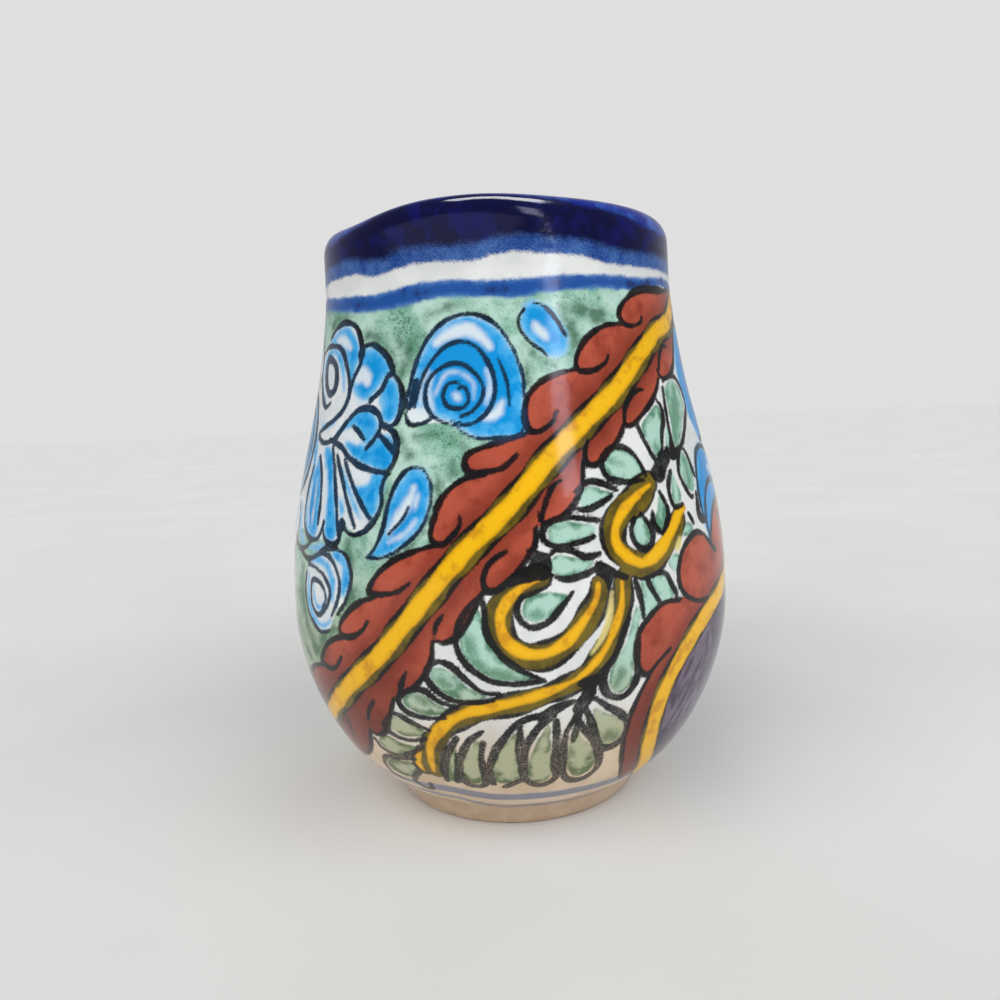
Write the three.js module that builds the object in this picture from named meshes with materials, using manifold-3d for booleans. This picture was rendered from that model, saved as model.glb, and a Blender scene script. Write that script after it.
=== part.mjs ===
// A hand-thrown, hand-painted pottery pitcher in tin-glazed earthenware, in millimetres, +Z up.
// The origin is on the vessel's axis in the flat face that it rests on, and -Y is the side of the spout.
import * as THREE from 'three';
import { mergeVertices } from 'three/addons/utils/BufferGeometryUtils.js';
import Module from 'manifold-3d';

const wasm = await Module();
wasm.setup();

// Sizes of the foot
const footRadius = 33.7;
const footTopRadius = 37.2;
const footHeight = 6.5;
const footEdgeRounding = 1.2;

// Sizes of the thrown body
const bellyRadius = 60;
const bellyHeight = 53;
const neckRadius = 46.3;
const neckHeight = 135.5;
const wallThickness = 5;
const floorThickness = 6;
const floorCornerRadius = 9;

// Fullness of the body's curve, as the lengths of its tangents
const footFlareOut = 14.5;
const footFlareUp = 8.9;
const bellyRoundBelow = 15.4;
const bellyRoundAbove = 36.2;
const shoulderDrop = 39.5;
const shoulderLean = 4.2;

// Sizes of the collar with its rolled lip
const collarHeight = 15.5;
const collarLean = 0.3;
const lipRollHeight = 5.4;
const lipRollDepth = 3.8;
const lipInsideRounding = 1.6;

// Sizes of the pulled spout, with its turn and its widths as angles round the collar in degrees
const spoutReach = 3.8;
const spoutTurn = -8;
const spoutLeftHalfWidth = 40;
const spoutRightHalfWidth = 20;

// Sizes of the dip in the rim at the left of the spout, with its angles from the spout's middle
const rimDip = 1.5;
const rimDipPlace = -39;
const rimDipHalfWidth = 17.5;

// How late the spout's pull and the rim's dip set in on the way up the collar
const spoutRisePower = 1.5;
const rimDipRisePower = 3;

// Places of the pulled strap handle, from the collar, the belly and its own upper root
const handleBelowCollar = 15.5;
const handleAboveBelly = 14;
const handleOuterDrop = 19;
const handleReach = 35;

// Sizes of the handle, with the lengths of its curve's tangents
const handleRiseAngle = 24;
const handleTuckAngle = 8;
const handleUpperDraw = 34;
const handleUpperDrop = 27;
const handleLowerDrop = 17;
const handleLowerDraw = 22;
const handleRootDepth = 4;
const handleUpperWidth = 25;
const handleLowerWidth = 18;
const handleUpperThickness = 10;
const handleLowerThickness = 8;
const handleGrooveDepth = 1.1;
const handleRootFlare = 3.5;
const handleRootFlareLength = 8;

// Sizes of the clay luted round each root of the handle
const lutingWidth = 4;
const lutingLength = 7;
const lutingEdge = 0.9;

// Clearance that stands for the slip between two luted curved faces
const slipGap = 0.3;

// Fineness of the surfaces
const turnSteps = 64;
const collarTurnSteps = 96;
const bodyCurveSteps = 9;
const lipSteps = 7;
const handleSteps = 30;
const handleSides = 20;
const lutingSteps = 5;

const radians = THREE.MathUtils.degToRad;
const collarTop = neckHeight + collarHeight;
const bodyFloorTop = footHeight + floorThickness;
const handleUpperRootHeight = neckHeight - handleBelowCollar;
const handleLowerRootHeight = bellyHeight + handleAboveBelly;
const handleOuterHeight = handleUpperRootHeight - handleOuterDrop;

// Turns a closed profile of radius and height about the vertical axis
function turned(profile, steps) {
  const geometry = new THREE.LatheGeometry(profile, steps);
  geometry.rotateX(Math.PI / 2);
  return geometry;
}

// The outside of the body, as two curves that meet at the belly
function bodyCurves(growth) {
  const lower = new THREE.CubicBezierCurve(
    new THREE.Vector2(footTopRadius + growth, footHeight),
    new THREE.Vector2(footTopRadius + growth + footFlareOut, footHeight + footFlareUp),
    new THREE.Vector2(bellyRadius + growth, bellyHeight - bellyRoundBelow),
    new THREE.Vector2(bellyRadius + growth, bellyHeight),
  );
  const upper = new THREE.CubicBezierCurve(
    new THREE.Vector2(bellyRadius + growth, bellyHeight),
    new THREE.Vector2(bellyRadius + growth, bellyHeight + bellyRoundAbove),
    new THREE.Vector2(neckRadius + growth + shoulderLean, neckHeight - shoulderDrop),
    new THREE.Vector2(neckRadius + growth, neckHeight),
  );
  return [lower, upper];
}

// Points up the outside of the body, from its bottom edge to the neck
function bodyOutside(growth) {
  const [lower, upper] = bodyCurves(growth);
  return [...lower.getPoints(bodyCurveSteps), ...upper.getPoints(bodyCurveSteps + 2).slice(1)];
}

// Radius of the outside of the body at a height
function bodyRadiusAt(height) {
  const points = bodyOutside(0);
  const above = points.findIndex((point) => point.y > height);
  const low = points[above - 1];
  const high = points[above];
  return THREE.MathUtils.mapLinear(height, low.y, high.y, low.x, high.x);
}

// Points down the inside of the wall, one wall thickness from the outside, from the neck to the floor
function bodyInside() {
  const points = [new THREE.Vector2(neckRadius - wallThickness, neckHeight)];
  for (const curve of bodyCurves(0).reverse()) {
    for (let step = bodyCurveSteps - 1; step > 0; step -= 1) {
      const place = curve.getPoint(step / bodyCurveSteps);
      const along = curve.getTangent(step / bodyCurveSteps);
      points.push(new THREE.Vector2(place.x - wallThickness * along.y, place.y + wallThickness * along.x));
    }
  }
  return points.filter((point) => point.y > bodyFloorTop + floorCornerRadius);
}

// The rounded corner between the wall and the floor, and the floor's middle
function floorCorner(wallEnd) {
  const corner = new THREE.QuadraticBezierCurve(
    wallEnd,
    new THREE.Vector2(wallEnd.x - floorCornerRadius, bodyFloorTop),
    new THREE.Vector2(wallEnd.x - 2 * floorCornerRadius, bodyFloorTop),
  );
  return [...corner.getPoints(4).slice(1), new THREE.Vector2(0, bodyFloorTop)];
}

// The turned foot, a disc with a flat bare underside
function footGeometry() {
  const side = new THREE.QuadraticBezierCurve(
    new THREE.Vector2(footRadius - footEdgeRounding, 0),
    new THREE.Vector2(footRadius, 0),
    new THREE.Vector2(footRadius + footEdgeRounding / 2, footEdgeRounding),
  );
  const profile = [
    new THREE.Vector2(0, 0),
    ...side.getPoints(3),
    new THREE.Vector2(footTopRadius, footHeight),
    new THREE.Vector2(0, footHeight),
  ];
  return turned(profile, turnSteps);
}

// The thrown body, with its floor
function bodyGeometry() {
  const inside = bodyInside();
  const profile = [
    new THREE.Vector2(0, footHeight),
    ...bodyOutside(0),
    ...inside,
    ...floorCorner(inside.at(-1)),
  ];
  return turned(profile, turnSteps);
}

// The solid that the roots of the handle are shaped to, the body's outside with the slip gap round it
function seatGeometry() {
  const outside = bodyOutside(slipGap);
  const profile = [new THREE.Vector2(0, outside[0].y), ...outside, new THREE.Vector2(0, neckHeight)];
  return turned(profile, turnSteps);
}

// How far the spout draws the lip outwards, at an angle in degrees from the spout's middle
function spoutPull(angle) {
  const halfWidth = angle < 0 ? spoutLeftHalfWidth : spoutRightHalfWidth;
  return spoutReach * Math.exp(-((angle / halfWidth) ** 2));
}

// How far the rim lies below the collar's top, at an angle in degrees from the spout's middle
function rimFall(angle) {
  return rimDip * Math.exp(-(((angle - rimDipPlace) / rimDipHalfWidth) ** 2));
}

// Moves each point of the collar outwards by the spout's pull and down by the rim's dip
function pullSpout(geometry) {
  const position = geometry.attributes.position;
  for (let index = 0; index < position.count; index += 1) {
    const x = position.getX(index);
    const y = position.getY(index);
    const z = position.getZ(index);
    const angle = THREE.MathUtils.radToDeg(Math.atan2(x, -y)) - spoutTurn;
    const rise = Math.max((z - neckHeight) / collarHeight, 0);
    const stretch = 1 + spoutPull(angle) * rise ** spoutRisePower / Math.hypot(x, y);
    position.setXYZ(index, x * stretch, y * stretch, z - rimFall(angle) * rise ** rimDipRisePower);
  }
  return geometry;
}

// The collar, with its rolled lip and the spout pulled from it
function collarGeometry() {
  const outer = neckRadius - collarLean;
  const inner = neckRadius - wallThickness;
  const roll = new THREE.EllipseCurve(
    outer - lipRollDepth, collarTop - lipRollHeight, lipRollDepth, lipRollHeight, 0, Math.PI / 2,
  );
  const insideRoll = new THREE.QuadraticBezierCurve(
    new THREE.Vector2(inner + lipInsideRounding, collarTop),
    new THREE.Vector2(inner, collarTop),
    new THREE.Vector2(inner, collarTop - lipInsideRounding),
  );
  const profile = [
    new THREE.Vector2(inner, neckHeight),
    new THREE.Vector2(neckRadius, neckHeight),
    new THREE.Vector2(neckRadius - collarLean / 3, neckHeight + collarHeight / 4),
    ...roll.getPoints(lipSteps),
    ...insideRoll.getPoints(3),
    new THREE.Vector2(inner, neckHeight + collarHeight / 2),
    new THREE.Vector2(inner, neckHeight),
  ];
  return pullSpout(turned(profile, collarTurnSteps));
}

// A point in the handle's own upright plane, at a distance from the vessel's axis and a height
function inHandlePlane(distance, height) {
  return new THREE.Vector3(0, distance, height);
}

// The middle line of the handle, from inside the neck's wall, out and round, to inside the belly's wall
function handleLine() {
  const rise = inHandlePlane(Math.cos(radians(handleRiseAngle)), Math.sin(radians(handleRiseAngle)));
  const tuck = inHandlePlane(Math.cos(radians(handleTuckAngle)), -Math.sin(radians(handleTuckAngle)));
  const upperWall = inHandlePlane(bodyRadiusAt(handleUpperRootHeight), handleUpperRootHeight);
  const lowerWall = inHandlePlane(bodyRadiusAt(handleLowerRootHeight), handleLowerRootHeight);
  const upperRoot = upperWall.clone().addScaledVector(rise, -handleRootDepth);
  const lowerRoot = lowerWall.clone().addScaledVector(tuck, -handleRootDepth);
  const outermost = inHandlePlane(bellyRadius + handleReach, handleOuterHeight);
  const line = new THREE.CurvePath();
  line.add(new THREE.CubicBezierCurve3(
    upperRoot,
    upperWall.clone().addScaledVector(rise, handleUpperDraw),
    outermost.clone().add(inHandlePlane(0, handleUpperDrop)),
    outermost,
  ));
  line.add(new THREE.CubicBezierCurve3(
    outermost,
    outermost.clone().add(inHandlePlane(0, -handleLowerDrop)),
    lowerWall.clone().addScaledVector(tuck, handleLowerDraw),
    lowerRoot,
  ));
  return line;
}

// One flat-oval section of the handle, with a shallow groove along its outer face
function handleSection(line, along, spare) {
  const place = line.getPointAt(along);
  const tangent = line.getTangentAt(along);
  const outward = new THREE.Vector3(1, 0, 0).cross(tangent).normalize();
  const toRoot = Math.min(along, 1 - along) * line.getLength() - handleRootDepth;
  const flare = handleRootFlare * Math.exp(-Math.max(toRoot, 0) / handleRootFlareLength);
  const halfWidth = THREE.MathUtils.lerp(handleUpperWidth, handleLowerWidth, along) / 2 + flare + spare;
  const thickness = THREE.MathUtils.lerp(handleUpperThickness, handleLowerThickness, along);
  const halfDepth = thickness / 2 + flare / 2 + spare;
  const ring = [];
  for (let side = 0; side < handleSides; side += 1) {
    const angle = 2 * Math.PI * side / handleSides;
    const groove = handleGrooveDepth * Math.max(Math.sin(angle), 0) ** 6;
    const across = halfWidth * Math.sign(Math.cos(angle)) * Math.abs(Math.cos(angle)) ** 0.8;
    const deep = halfDepth * Math.sin(angle) - groove;
    ring.push(new THREE.Vector3(across, 0, 0).add(place).addScaledVector(outward, deep));
  }
  return ring;
}

// Joins rings of points into one closed body with flat ends
function loft(rings) {
  const sides = rings[0].length;
  const points = rings.flat();
  const start = points.push(centreOf(rings[0])) - 1;
  const finish = points.push(centreOf(rings.at(-1))) - 1;
  const faces = [];
  for (let side = 0; side < sides; side += 1) {
    const next = (side + 1) % sides;
    for (let ring = 0; ring < rings.length - 1; ring += 1) {
      const low = ring * sides;
      const high = low + sides;
      faces.push(low + side, high + next, low + next, low + side, high + side, high + next);
    }
    const last = (rings.length - 1) * sides;
    faces.push(start, side, next, finish, last + next, last + side);
  }
  const geometry = new THREE.BufferGeometry().setFromPoints(points);
  geometry.setIndex(faces);
  return geometry;
}

// The middle of a ring of points
function centreOf(ring) {
  const sum = new THREE.Vector3();
  ring.forEach((point) => sum.add(point));
  return sum.divideScalar(ring.length);
}

// A closed geometry as a solid that can be cut
function solidOf(geometry) {
  const bare = geometry.clone();
  bare.deleteAttribute('normal');
  bare.deleteAttribute('uv');
  const merged = mergeVertices(bare);
  return new wasm.Manifold(new wasm.Mesh({
    numProp: 3,
    vertProperties: merged.attributes.position.array,
    triVerts: new Uint32Array(merged.index.array),
  }));
}

// A cut solid as a geometry again
function geometryOf(solid) {
  const mesh = solid.getMesh();
  const geometry = new THREE.BufferGeometry();
  geometry.setAttribute('position', new THREE.BufferAttribute(mesh.vertProperties, 3));
  geometry.setIndex(new THREE.BufferAttribute(mesh.triVerts, 1));
  geometry.computeVertexNormals();
  return geometry;
}

// The whole handle before its ends are shaped to the wall, with spare clay round it if asked
function handleBlank(line, spare) {
  const rings = [];
  for (let step = 0; step <= handleSteps; step += 1) {
    rings.push(handleSection(line, step / handleSteps, spare));
  }
  return solidOf(loft(rings));
}

// The pulled strap handle, its two ends shaped to the body's curved wall
function handleGeometry() {
  return geometryOf(handleBlank(handleLine(), 0).subtract(solidOf(seatGeometry())));
}

// The clay luted round one root of the handle, thick at the wall and thin along the handle
function lutingGeometry(atUpperRoot) {
  const line = handleLine();
  const length = line.getLength();
  const reach = handleRootDepth + lutingLength;
  const rings = [];
  for (let step = 0; step <= lutingSteps; step += 1) {
    const share = step / lutingSteps;
    const fromEnd = share * reach / length;
    const spare = lutingEdge + (lutingWidth - lutingEdge) * (1 - share) ** 2;
    rings.push(handleSection(line, atUpperRoot ? fromEnd : 1 - fromEnd, spare));
  }
  if (!atUpperRoot) rings.reverse();
  const blank = solidOf(loft(rings));
  return geometryOf(blank.subtract(handleBlank(line, slipGap)).subtract(solidOf(seatGeometry())));
}

// A named piece with its own finish
function piece(name, geometry, color, roughness) {
  const mesh = new THREE.Mesh(geometry, new THREE.MeshStandardMaterial({ color, roughness, metalness: 0 }));
  mesh.name = name;
  return mesh;
}

// The handle and its luted clay, turned to stand opposite the spout
function handleGroup() {
  const group = new THREE.Group();
  group.add(
    piece('handle', handleGeometry(), 0x1c2f86, 0.2),
    piece('upper_handle_luting', lutingGeometry(true), 0x1c2f86, 0.2),
    piece('lower_handle_luting', lutingGeometry(false), 0xd9d6cf, 0.2),
  );
  group.rotation.z = radians(spoutTurn);
  return group;
}

const pitcher = new THREE.Group();
pitcher.add(
  piece('foot', footGeometry(), 0xc9b79a, 0.7),
  piece('body', bodyGeometry(), 0x8fae96, 0.2),
  piece('collar_with_spout', collarGeometry(), 0x10184a, 0.15),
  handleGroup(),
);
export default pitcher;
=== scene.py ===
import math

import bpy
import numpy as np
from mathutils import Matrix, Vector


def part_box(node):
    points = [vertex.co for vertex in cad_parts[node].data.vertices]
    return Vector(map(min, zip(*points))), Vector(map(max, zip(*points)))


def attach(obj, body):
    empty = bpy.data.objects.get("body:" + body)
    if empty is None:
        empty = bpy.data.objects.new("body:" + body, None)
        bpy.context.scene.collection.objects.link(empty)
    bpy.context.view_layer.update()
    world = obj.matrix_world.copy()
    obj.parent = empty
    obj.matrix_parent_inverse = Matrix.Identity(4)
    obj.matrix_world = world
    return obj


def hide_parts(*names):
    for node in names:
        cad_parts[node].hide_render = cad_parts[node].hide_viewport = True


# A hand-thrown, hand-painted pottery pitcher. Lengths are in millimetres and become metres in the meshes.
# On the vessel a place is (degrees round from the front, height), and the front is -Y.

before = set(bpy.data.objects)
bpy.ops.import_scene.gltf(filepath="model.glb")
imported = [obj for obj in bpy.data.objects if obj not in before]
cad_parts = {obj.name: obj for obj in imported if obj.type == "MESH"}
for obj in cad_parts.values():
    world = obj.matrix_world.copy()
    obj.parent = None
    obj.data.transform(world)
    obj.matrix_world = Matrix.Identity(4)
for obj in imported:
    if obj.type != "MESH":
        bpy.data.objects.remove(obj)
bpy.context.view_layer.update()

MM = 0.001

# Keeps a division by a length away from zero
TINY = 1e-9

# Sizes read from the frame
foot_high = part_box("foot")[1] / MM
body_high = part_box("body")[1] / MM
collar_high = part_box("collar_with_spout")[1] / MM
FOOT_HEIGHT = foot_high.z
BELLY_RADIUS = body_high.x
NECK_HEIGHT = body_high.z
TOP = collar_high.z

# Sizes of the vessel that the frame's boxes don't give
FOOT_RADIUS = 33.7
FOOT_TOP_RADIUS = 37.2
FOOT_ROUNDING = 1.2
BELLY_HEIGHT = 53
NECK_RADIUS = 46.3
WALL = 5
FLOOR_TOP = FOOT_HEIGHT + 6
FLOOR_CORNER = 9
COLLAR_LEAN = 0.3
LIP_HEIGHT = 5.4
LIP_DEPTH = 3.8
LIP_INSIDE = 1.6

# Lengths of the tangents that give the body's curve its fullness
FLARE_OUT = 14.5
FLARE_UP = 8.9
BELLY_BELOW = 15.4
BELLY_ABOVE = 36.2
SHOULDER_DROP = 39.5
SHOULDER_LEAN = 4.2

# The pulled spout and the dip in the rim at its left, with angles in degrees
SPOUT_REACH = 3.8
SPOUT_TURN = -8
SPOUT_HALF_WIDTHS = (40, 20)
SPOUT_RISE_POWER = 1.5
RIM_DIP = 1.5
RIM_DIP_PLACE = -39
RIM_DIP_HALF_WIDTH = 17.5
RIM_DIP_RISE_POWER = 3

# The pulled handle, in its own upright plane opposite the spout
UPPER_ROOT_HEIGHT = NECK_HEIGHT - 15.5
LOWER_ROOT_HEIGHT = BELLY_HEIGHT + 14
HANDLE_REACH = 35
HANDLE_OUTER_HEIGHT = UPPER_ROOT_HEIGHT - 19
HANDLE_RISE = 24
HANDLE_TUCK = 8
UPPER_DRAW = 34
UPPER_DROP = 27
LOWER_DROP = 17
LOWER_DRAW = 22
ROOT_DEPTH = 4
HANDLE_WIDTHS = (25, 18)
HANDLE_THICKNESSES = (10, 8)
HANDLE_GROOVE = 1.1
ROOT_FLARE = 3.5
ROOT_FLARE_LENGTH = 8
LUTING_WIDTH = 4
LUTING_LENGTH = 7

# Powers that square the strap's section and narrow its groove, and how deep in the wall its roots end
HANDLE_SQUARING = 0.8
GROOVE_NARROWING = 6
ROOT_SHARE_OF_WALL = 0.6

# Fineness of the meshes
COLUMNS = 640
ROW_STEP = 0.62
INSIDE_STEP = 1.6
HANDLE_SIDES = 72
HANDLE_STEP = 1.0
MIDDLE_RADIUS = 1

# Fineness of the curves that the meshes and the brush strokes follow
FOOT_EDGE_POINTS = 12
CORNER_POINTS = 30
WALL_POINTS = 200
HANDLE_POINTS = 300
SPLINE_POINTS = 9
BRUSH_STEP = 0.9
EDGE_SOFTENING = 4

# The empty border of each strip of the flat layout for baking
UV_MARGIN = 0.006

# A distance that counts as far from any paint, and how far from a stroke distances are worked out
FAR = 9.0
PAINT_REACH = 3

# How many segments of a stroke are worked on together
CHAIN = 12

# How the width of a stroke sways along it, and how that shifts from one stroke to the next
SWAY_PACE = 0.45
SWAY_SHIFT = 1.7

# The height over the resting face that the painting's own heights are counted from
PAINT_LEVEL = 1

# Where the grounds end: the border down the back in degrees, and the heights at the base and the neck
BACK_BORDER = 172
BASE = 13
GROUND_TOP = 131

# How far up the bare clay and the painted shade and warm reflection low down reach, and how far down inside
# the lip the cobalt
CLAY_HEIGHT = 0.7
LOW_SHADE_HEIGHT = 36
INSIDE_RIM_DEPTH = 9

# The uneven edge of the cobalt inside, and how far inside the lip its brighter wash reaches
INSIDE_RIM_SWING = 0.8
INSIDE_RIM_WAVES = 5
LIP_WASH_INSIDE = 2.5

# Between which degrees the ribbons end at the line round the neck, and how far under it
TRIMMED_SIDE = (62, 180)
TRIM_GAP = 0.5

# The dashes on the purple ground: their first, last and next heights, where a row begins, the next dash
# along it, and how far they keep under the ribbon
DASH_HEIGHTS = (15, 120, 4.4)
DASH_START = 41
DASH_PITCH = 4.2
DASH_CLEARANCE = 5

# How many sponged strokes lie on the back, and between which degrees and heights
BACK_MOSS = 60
BACK_MOSS_DEGREES = (-188, -70)
BACK_MOSS_HEIGHTS = (30, 128)

# How much wider than its olive the dark outline of a scroll is
SCROLL_OUTLINE = 1.4

# The middles of the motifs that are painted again elsewhere
ROSETTE_MIDDLE = (-76, 97)
CURL_MIDDLE = (-48, 63)
SPIRAL_MIDDLE = (-11, 110)
BUD_MIDDLE = (11, 121)
BLUE_LEAF_MIDDLE = (-24, 82)

# How far the cream fringe reaches up the handle from its roots
ROOT_FRINGE = 2.5

# The camera's place, its tilt down and its roll in degrees, and its lens
CAMERA_PLACE = (-1.73, -215.6, 105.9)
CAMERA_PITCH = 7.1
CAMERA_ROLL = -2.48
CAMERA_LENS = 27.36
SENSOR = 36
CLIP_START = 0.01

# The world's light from the front, from behind, and from behind in the glaze's reflections
WORLD_FRONT = 0.24
WORLD_BACK = 0.74
WORLD_MIRRORED = 0.45

# Where the world's light goes over from front to back, as shares of the way
WORLD_FADE = (0.2, 0.8)

# The broad lights' spread in degrees, and how far off they stand
SKY_SPREAD = 60
SKY_DISTANCE = 1000

# The floor's reach and its dull surface
FLOOR_REACH = 4000
FLOOR_ROUGHNESS = 0.9
FLOOR_GLOSS = 0.1

# How strongly the glaze reflects, on the painted body, on the dark cobalt and on the foot
BODY_GLOSS = 0.3
RIM_GLOSS = 0.28
FOOT_GLOSS = 0.5

# The strength and the depth of the glaze's small unevenness
BUMP_STRENGTH = 0.55
BUMP_DEPTH = 0.35


def bezier(points, count):
    """Points along a cubic curve."""
    a, b, c, d = (np.array(point, float) for point in points)
    t = np.linspace(0, 1, count)[:, None]
    return (1 - t) ** 3 * a + 3 * (1 - t) ** 2 * t * b + 3 * (1 - t) * t * t * c + t ** 3 * d


def even(points, step):
    """The same line with points an even step apart."""
    points = np.array(points, float)
    run = np.concatenate([[0], np.cumsum(np.linalg.norm(np.diff(points, axis=0), axis=1))])
    count = max(2, int(round(run[-1] / step)) + 1)
    at = np.linspace(0, run[-1], count)
    return np.stack([np.interp(at, run, points[:, axis]) for axis in range(points.shape[1])], 1)


def smooth(points, closed=False):
    """A smooth curve through given points, with points an even step apart."""
    points = np.array(points, float)
    if len(points) == 2:
        return even(points, BRUSH_STEP)
    if closed:
        padded = np.vstack([points[-1:], points, points[:2]])
    else:
        padded = np.vstack([2 * points[0] - points[1], points, 2 * points[-1] - points[-2]])
    runs = []
    t = np.linspace(0, 1, SPLINE_POINTS)[:-1, None]
    for a, b, c, d in zip(padded[:-3], padded[1:-2], padded[2:-1], padded[3:]):
        runs.append(0.5 * (2 * b + (c - a) * t + (2 * a - 5 * b + 4 * c - d) * t ** 2
                           + (3 * b - a - 3 * c + d) * t ** 3))
    end = points[:1] if closed else points[-1:]
    return even(np.vstack(runs + [end]), BRUSH_STEP)


def foot_side():
    """Radius and height round the foot's lower edge and up its side."""
    t = np.linspace(0, 1, FOOT_EDGE_POINTS)[:, None]
    low = np.array([FOOT_RADIUS - FOOT_ROUNDING, 0])
    corner = np.array([FOOT_RADIUS, 0])
    high = np.array([FOOT_RADIUS + FOOT_ROUNDING / 2, FOOT_ROUNDING])
    edge = (1 - t) ** 2 * low + 2 * (1 - t) * t * corner + t * t * high
    return np.vstack([edge, [(FOOT_TOP_RADIUS, FOOT_HEIGHT)]])


def outer_wall():
    """Radius and height up the outside of the body."""
    lower = bezier([(FOOT_TOP_RADIUS, FOOT_HEIGHT),
                    (FOOT_TOP_RADIUS + FLARE_OUT, FOOT_HEIGHT + FLARE_UP),
                    (BELLY_RADIUS, BELLY_HEIGHT - BELLY_BELOW),
                    (BELLY_RADIUS, BELLY_HEIGHT)], WALL_POINTS)
    upper = bezier([(BELLY_RADIUS, BELLY_HEIGHT),
                    (BELLY_RADIUS, BELLY_HEIGHT + BELLY_ABOVE),
                    (NECK_RADIUS + SHOULDER_LEAN, NECK_HEIGHT - SHOULDER_DROP),
                    (NECK_RADIUS, NECK_HEIGHT)], WALL_POINTS)
    return np.vstack([lower, upper[1:]])


def inner_wall(outside):
    """Radius and height down the inside of the body to the middle of its floor."""
    along = np.gradient(outside, axis=0)
    along /= np.linalg.norm(along, axis=1)[:, None]
    inside = outside + WALL * np.stack([-along[:, 1], along[:, 0]], 1)
    inside = inside[inside[:, 1] > FLOOR_TOP + FLOOR_CORNER][::-1]
    inside[0] = (NECK_RADIUS - WALL, NECK_HEIGHT)
    end = inside[-1]
    t = np.linspace(0, 1, CORNER_POINTS)[1:, None]
    corner = ((1 - t) ** 2 * end + 2 * (1 - t) * t * np.array([end[0] - FLOOR_CORNER, FLOOR_TOP])
              + t * t * np.array([end[0] - 2 * FLOOR_CORNER, FLOOR_TOP]))
    return np.vstack([inside, corner, [(MIDDLE_RADIUS, FLOOR_TOP)]])


def lip_section():
    """Radius and height up the outside of the collar, over the rolled lip and down the inside."""
    outer = NECK_RADIUS - COLLAR_LEAN
    inner = NECK_RADIUS - WALL
    turn = np.linspace(0, math.pi / 2, CORNER_POINTS)
    roll = np.stack([outer - LIP_DEPTH + LIP_DEPTH * np.cos(turn),
                     TOP - LIP_HEIGHT + LIP_HEIGHT * np.sin(turn)], 1)
    inside = np.stack([inner + LIP_INSIDE - LIP_INSIDE * np.sin(turn),
                       TOP - LIP_INSIDE + LIP_INSIDE * np.cos(turn)], 1)
    return np.vstack([[(NECK_RADIUS, NECK_HEIGHT)],
                      [(NECK_RADIUS - COLLAR_LEAN / 3, NECK_HEIGHT + (TOP - NECK_HEIGHT) / 4)],
                      roll, inside, [(inner, NECK_HEIGHT)]])


def rim_moves(degrees, height):
    """How far the spout draws the collar outwards, and how far the dip beside it lowers the rim."""
    angle = (degrees - SPOUT_TURN + 180) % 360 - 180
    rise = np.clip((height - NECK_HEIGHT) / (TOP - NECK_HEIGHT), 0, 1)
    half_width = np.where(angle < 0, *SPOUT_HALF_WIDTHS)
    pull = SPOUT_REACH * np.exp(-(angle / half_width) ** 2) * rise ** SPOUT_RISE_POWER
    fall = RIM_DIP * np.exp(-((angle - RIM_DIP_PLACE) / RIM_DIP_HALF_WIDTH) ** 2) * rise ** RIM_DIP_RISE_POWER
    return pull, fall


class Vessel:
    """A grid of points all over the vessel, with the signed distance to each layer of paint at every point.

    Its rows run from the middle of the underside, up the outside, over the lip and down to the floor."""

    def __init__(self):
        wall = outer_wall()
        runs = [even([(MIDDLE_RADIUS, 0), (FOOT_RADIUS - FOOT_ROUNDING, 0)], INSIDE_STEP),
                even(foot_side(), ROW_STEP),
                even(wall, ROW_STEP),
                even(lip_section(), ROW_STEP),
                even(inner_wall(wall), INSIDE_STEP)]
        profile = np.vstack([runs[0]] + [run[1:] for run in runs[1:]])
        ends = np.cumsum([len(runs[0])] + [len(run) - 1 for run in runs[1:]]) - 1
        self.underside_edge, self.foot_top, self.neck, self.inside_neck, self.floor = ends
        self.radius, self.height = profile[:, 0], profile[:, 1]
        steps = np.linalg.norm(np.diff(profile, axis=0), axis=1)
        self.arc = np.concatenate([[0], np.cumsum(steps)])
        self.lip = int(np.argmax(self.height))
        self.degrees = np.arange(COLUMNS) * 360 / COLUMNS - 180
        angle = np.radians(self.degrees)[None, :]
        pull, fall = rim_moves(self.degrees[None, :], self.height[:, None])
        reach = self.radius[:, None] + pull
        self.points = np.stack([
            reach * np.sin(angle), -reach * np.cos(angle), self.height[:, None] - fall], -1)
        self.layers = {}

    def layer(self, name):
        """Signed distances to one layer of paint, in millimetres, negative inside it."""
        if name not in self.layers:
            self.layers[name] = np.full(self.points.shape[:2], FAR)
        return self.layers[name]

    def arc_at(self, height):
        """How far along the profile a height on the outside lies."""
        outside = slice(self.underside_edge, self.lip + 1)
        return np.interp(height, self.height[outside], self.arc[outside])

    def edge(self, points):
        """An uneven line round the vessel through (degrees, height) points, as each column's arc length."""
        points = np.array(points, float)
        heights = np.interp(self.degrees, points[:, 0], points[:, 1], period=360)
        shifts = range(-EDGE_SOFTENING, EDGE_SOFTENING + 1)
        softened = sum(np.roll(heights, shift) for shift in shifts) / len(shifts)
        return self.arc_at(softened + PAINT_LEVEL)

    def band(self, name, lower, upper):
        """Paint all the way round between two arcs, which are numbers or one number for each column."""
        arc = self.arc[:, None]
        layer = self.layer(name)
        np.minimum(layer, np.maximum(lower - arc, arc - upper), out=layer)

    def normals(self):
        """Outward directions from the grid's own slopes."""
        up = np.gradient(self.points, axis=0)
        across = np.roll(self.points, -1, 1) - np.roll(self.points, 1, 1)
        normal = np.cross(across, up)
        return normal / np.maximum(np.linalg.norm(normal, axis=-1, keepdims=True), TINY)


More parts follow.
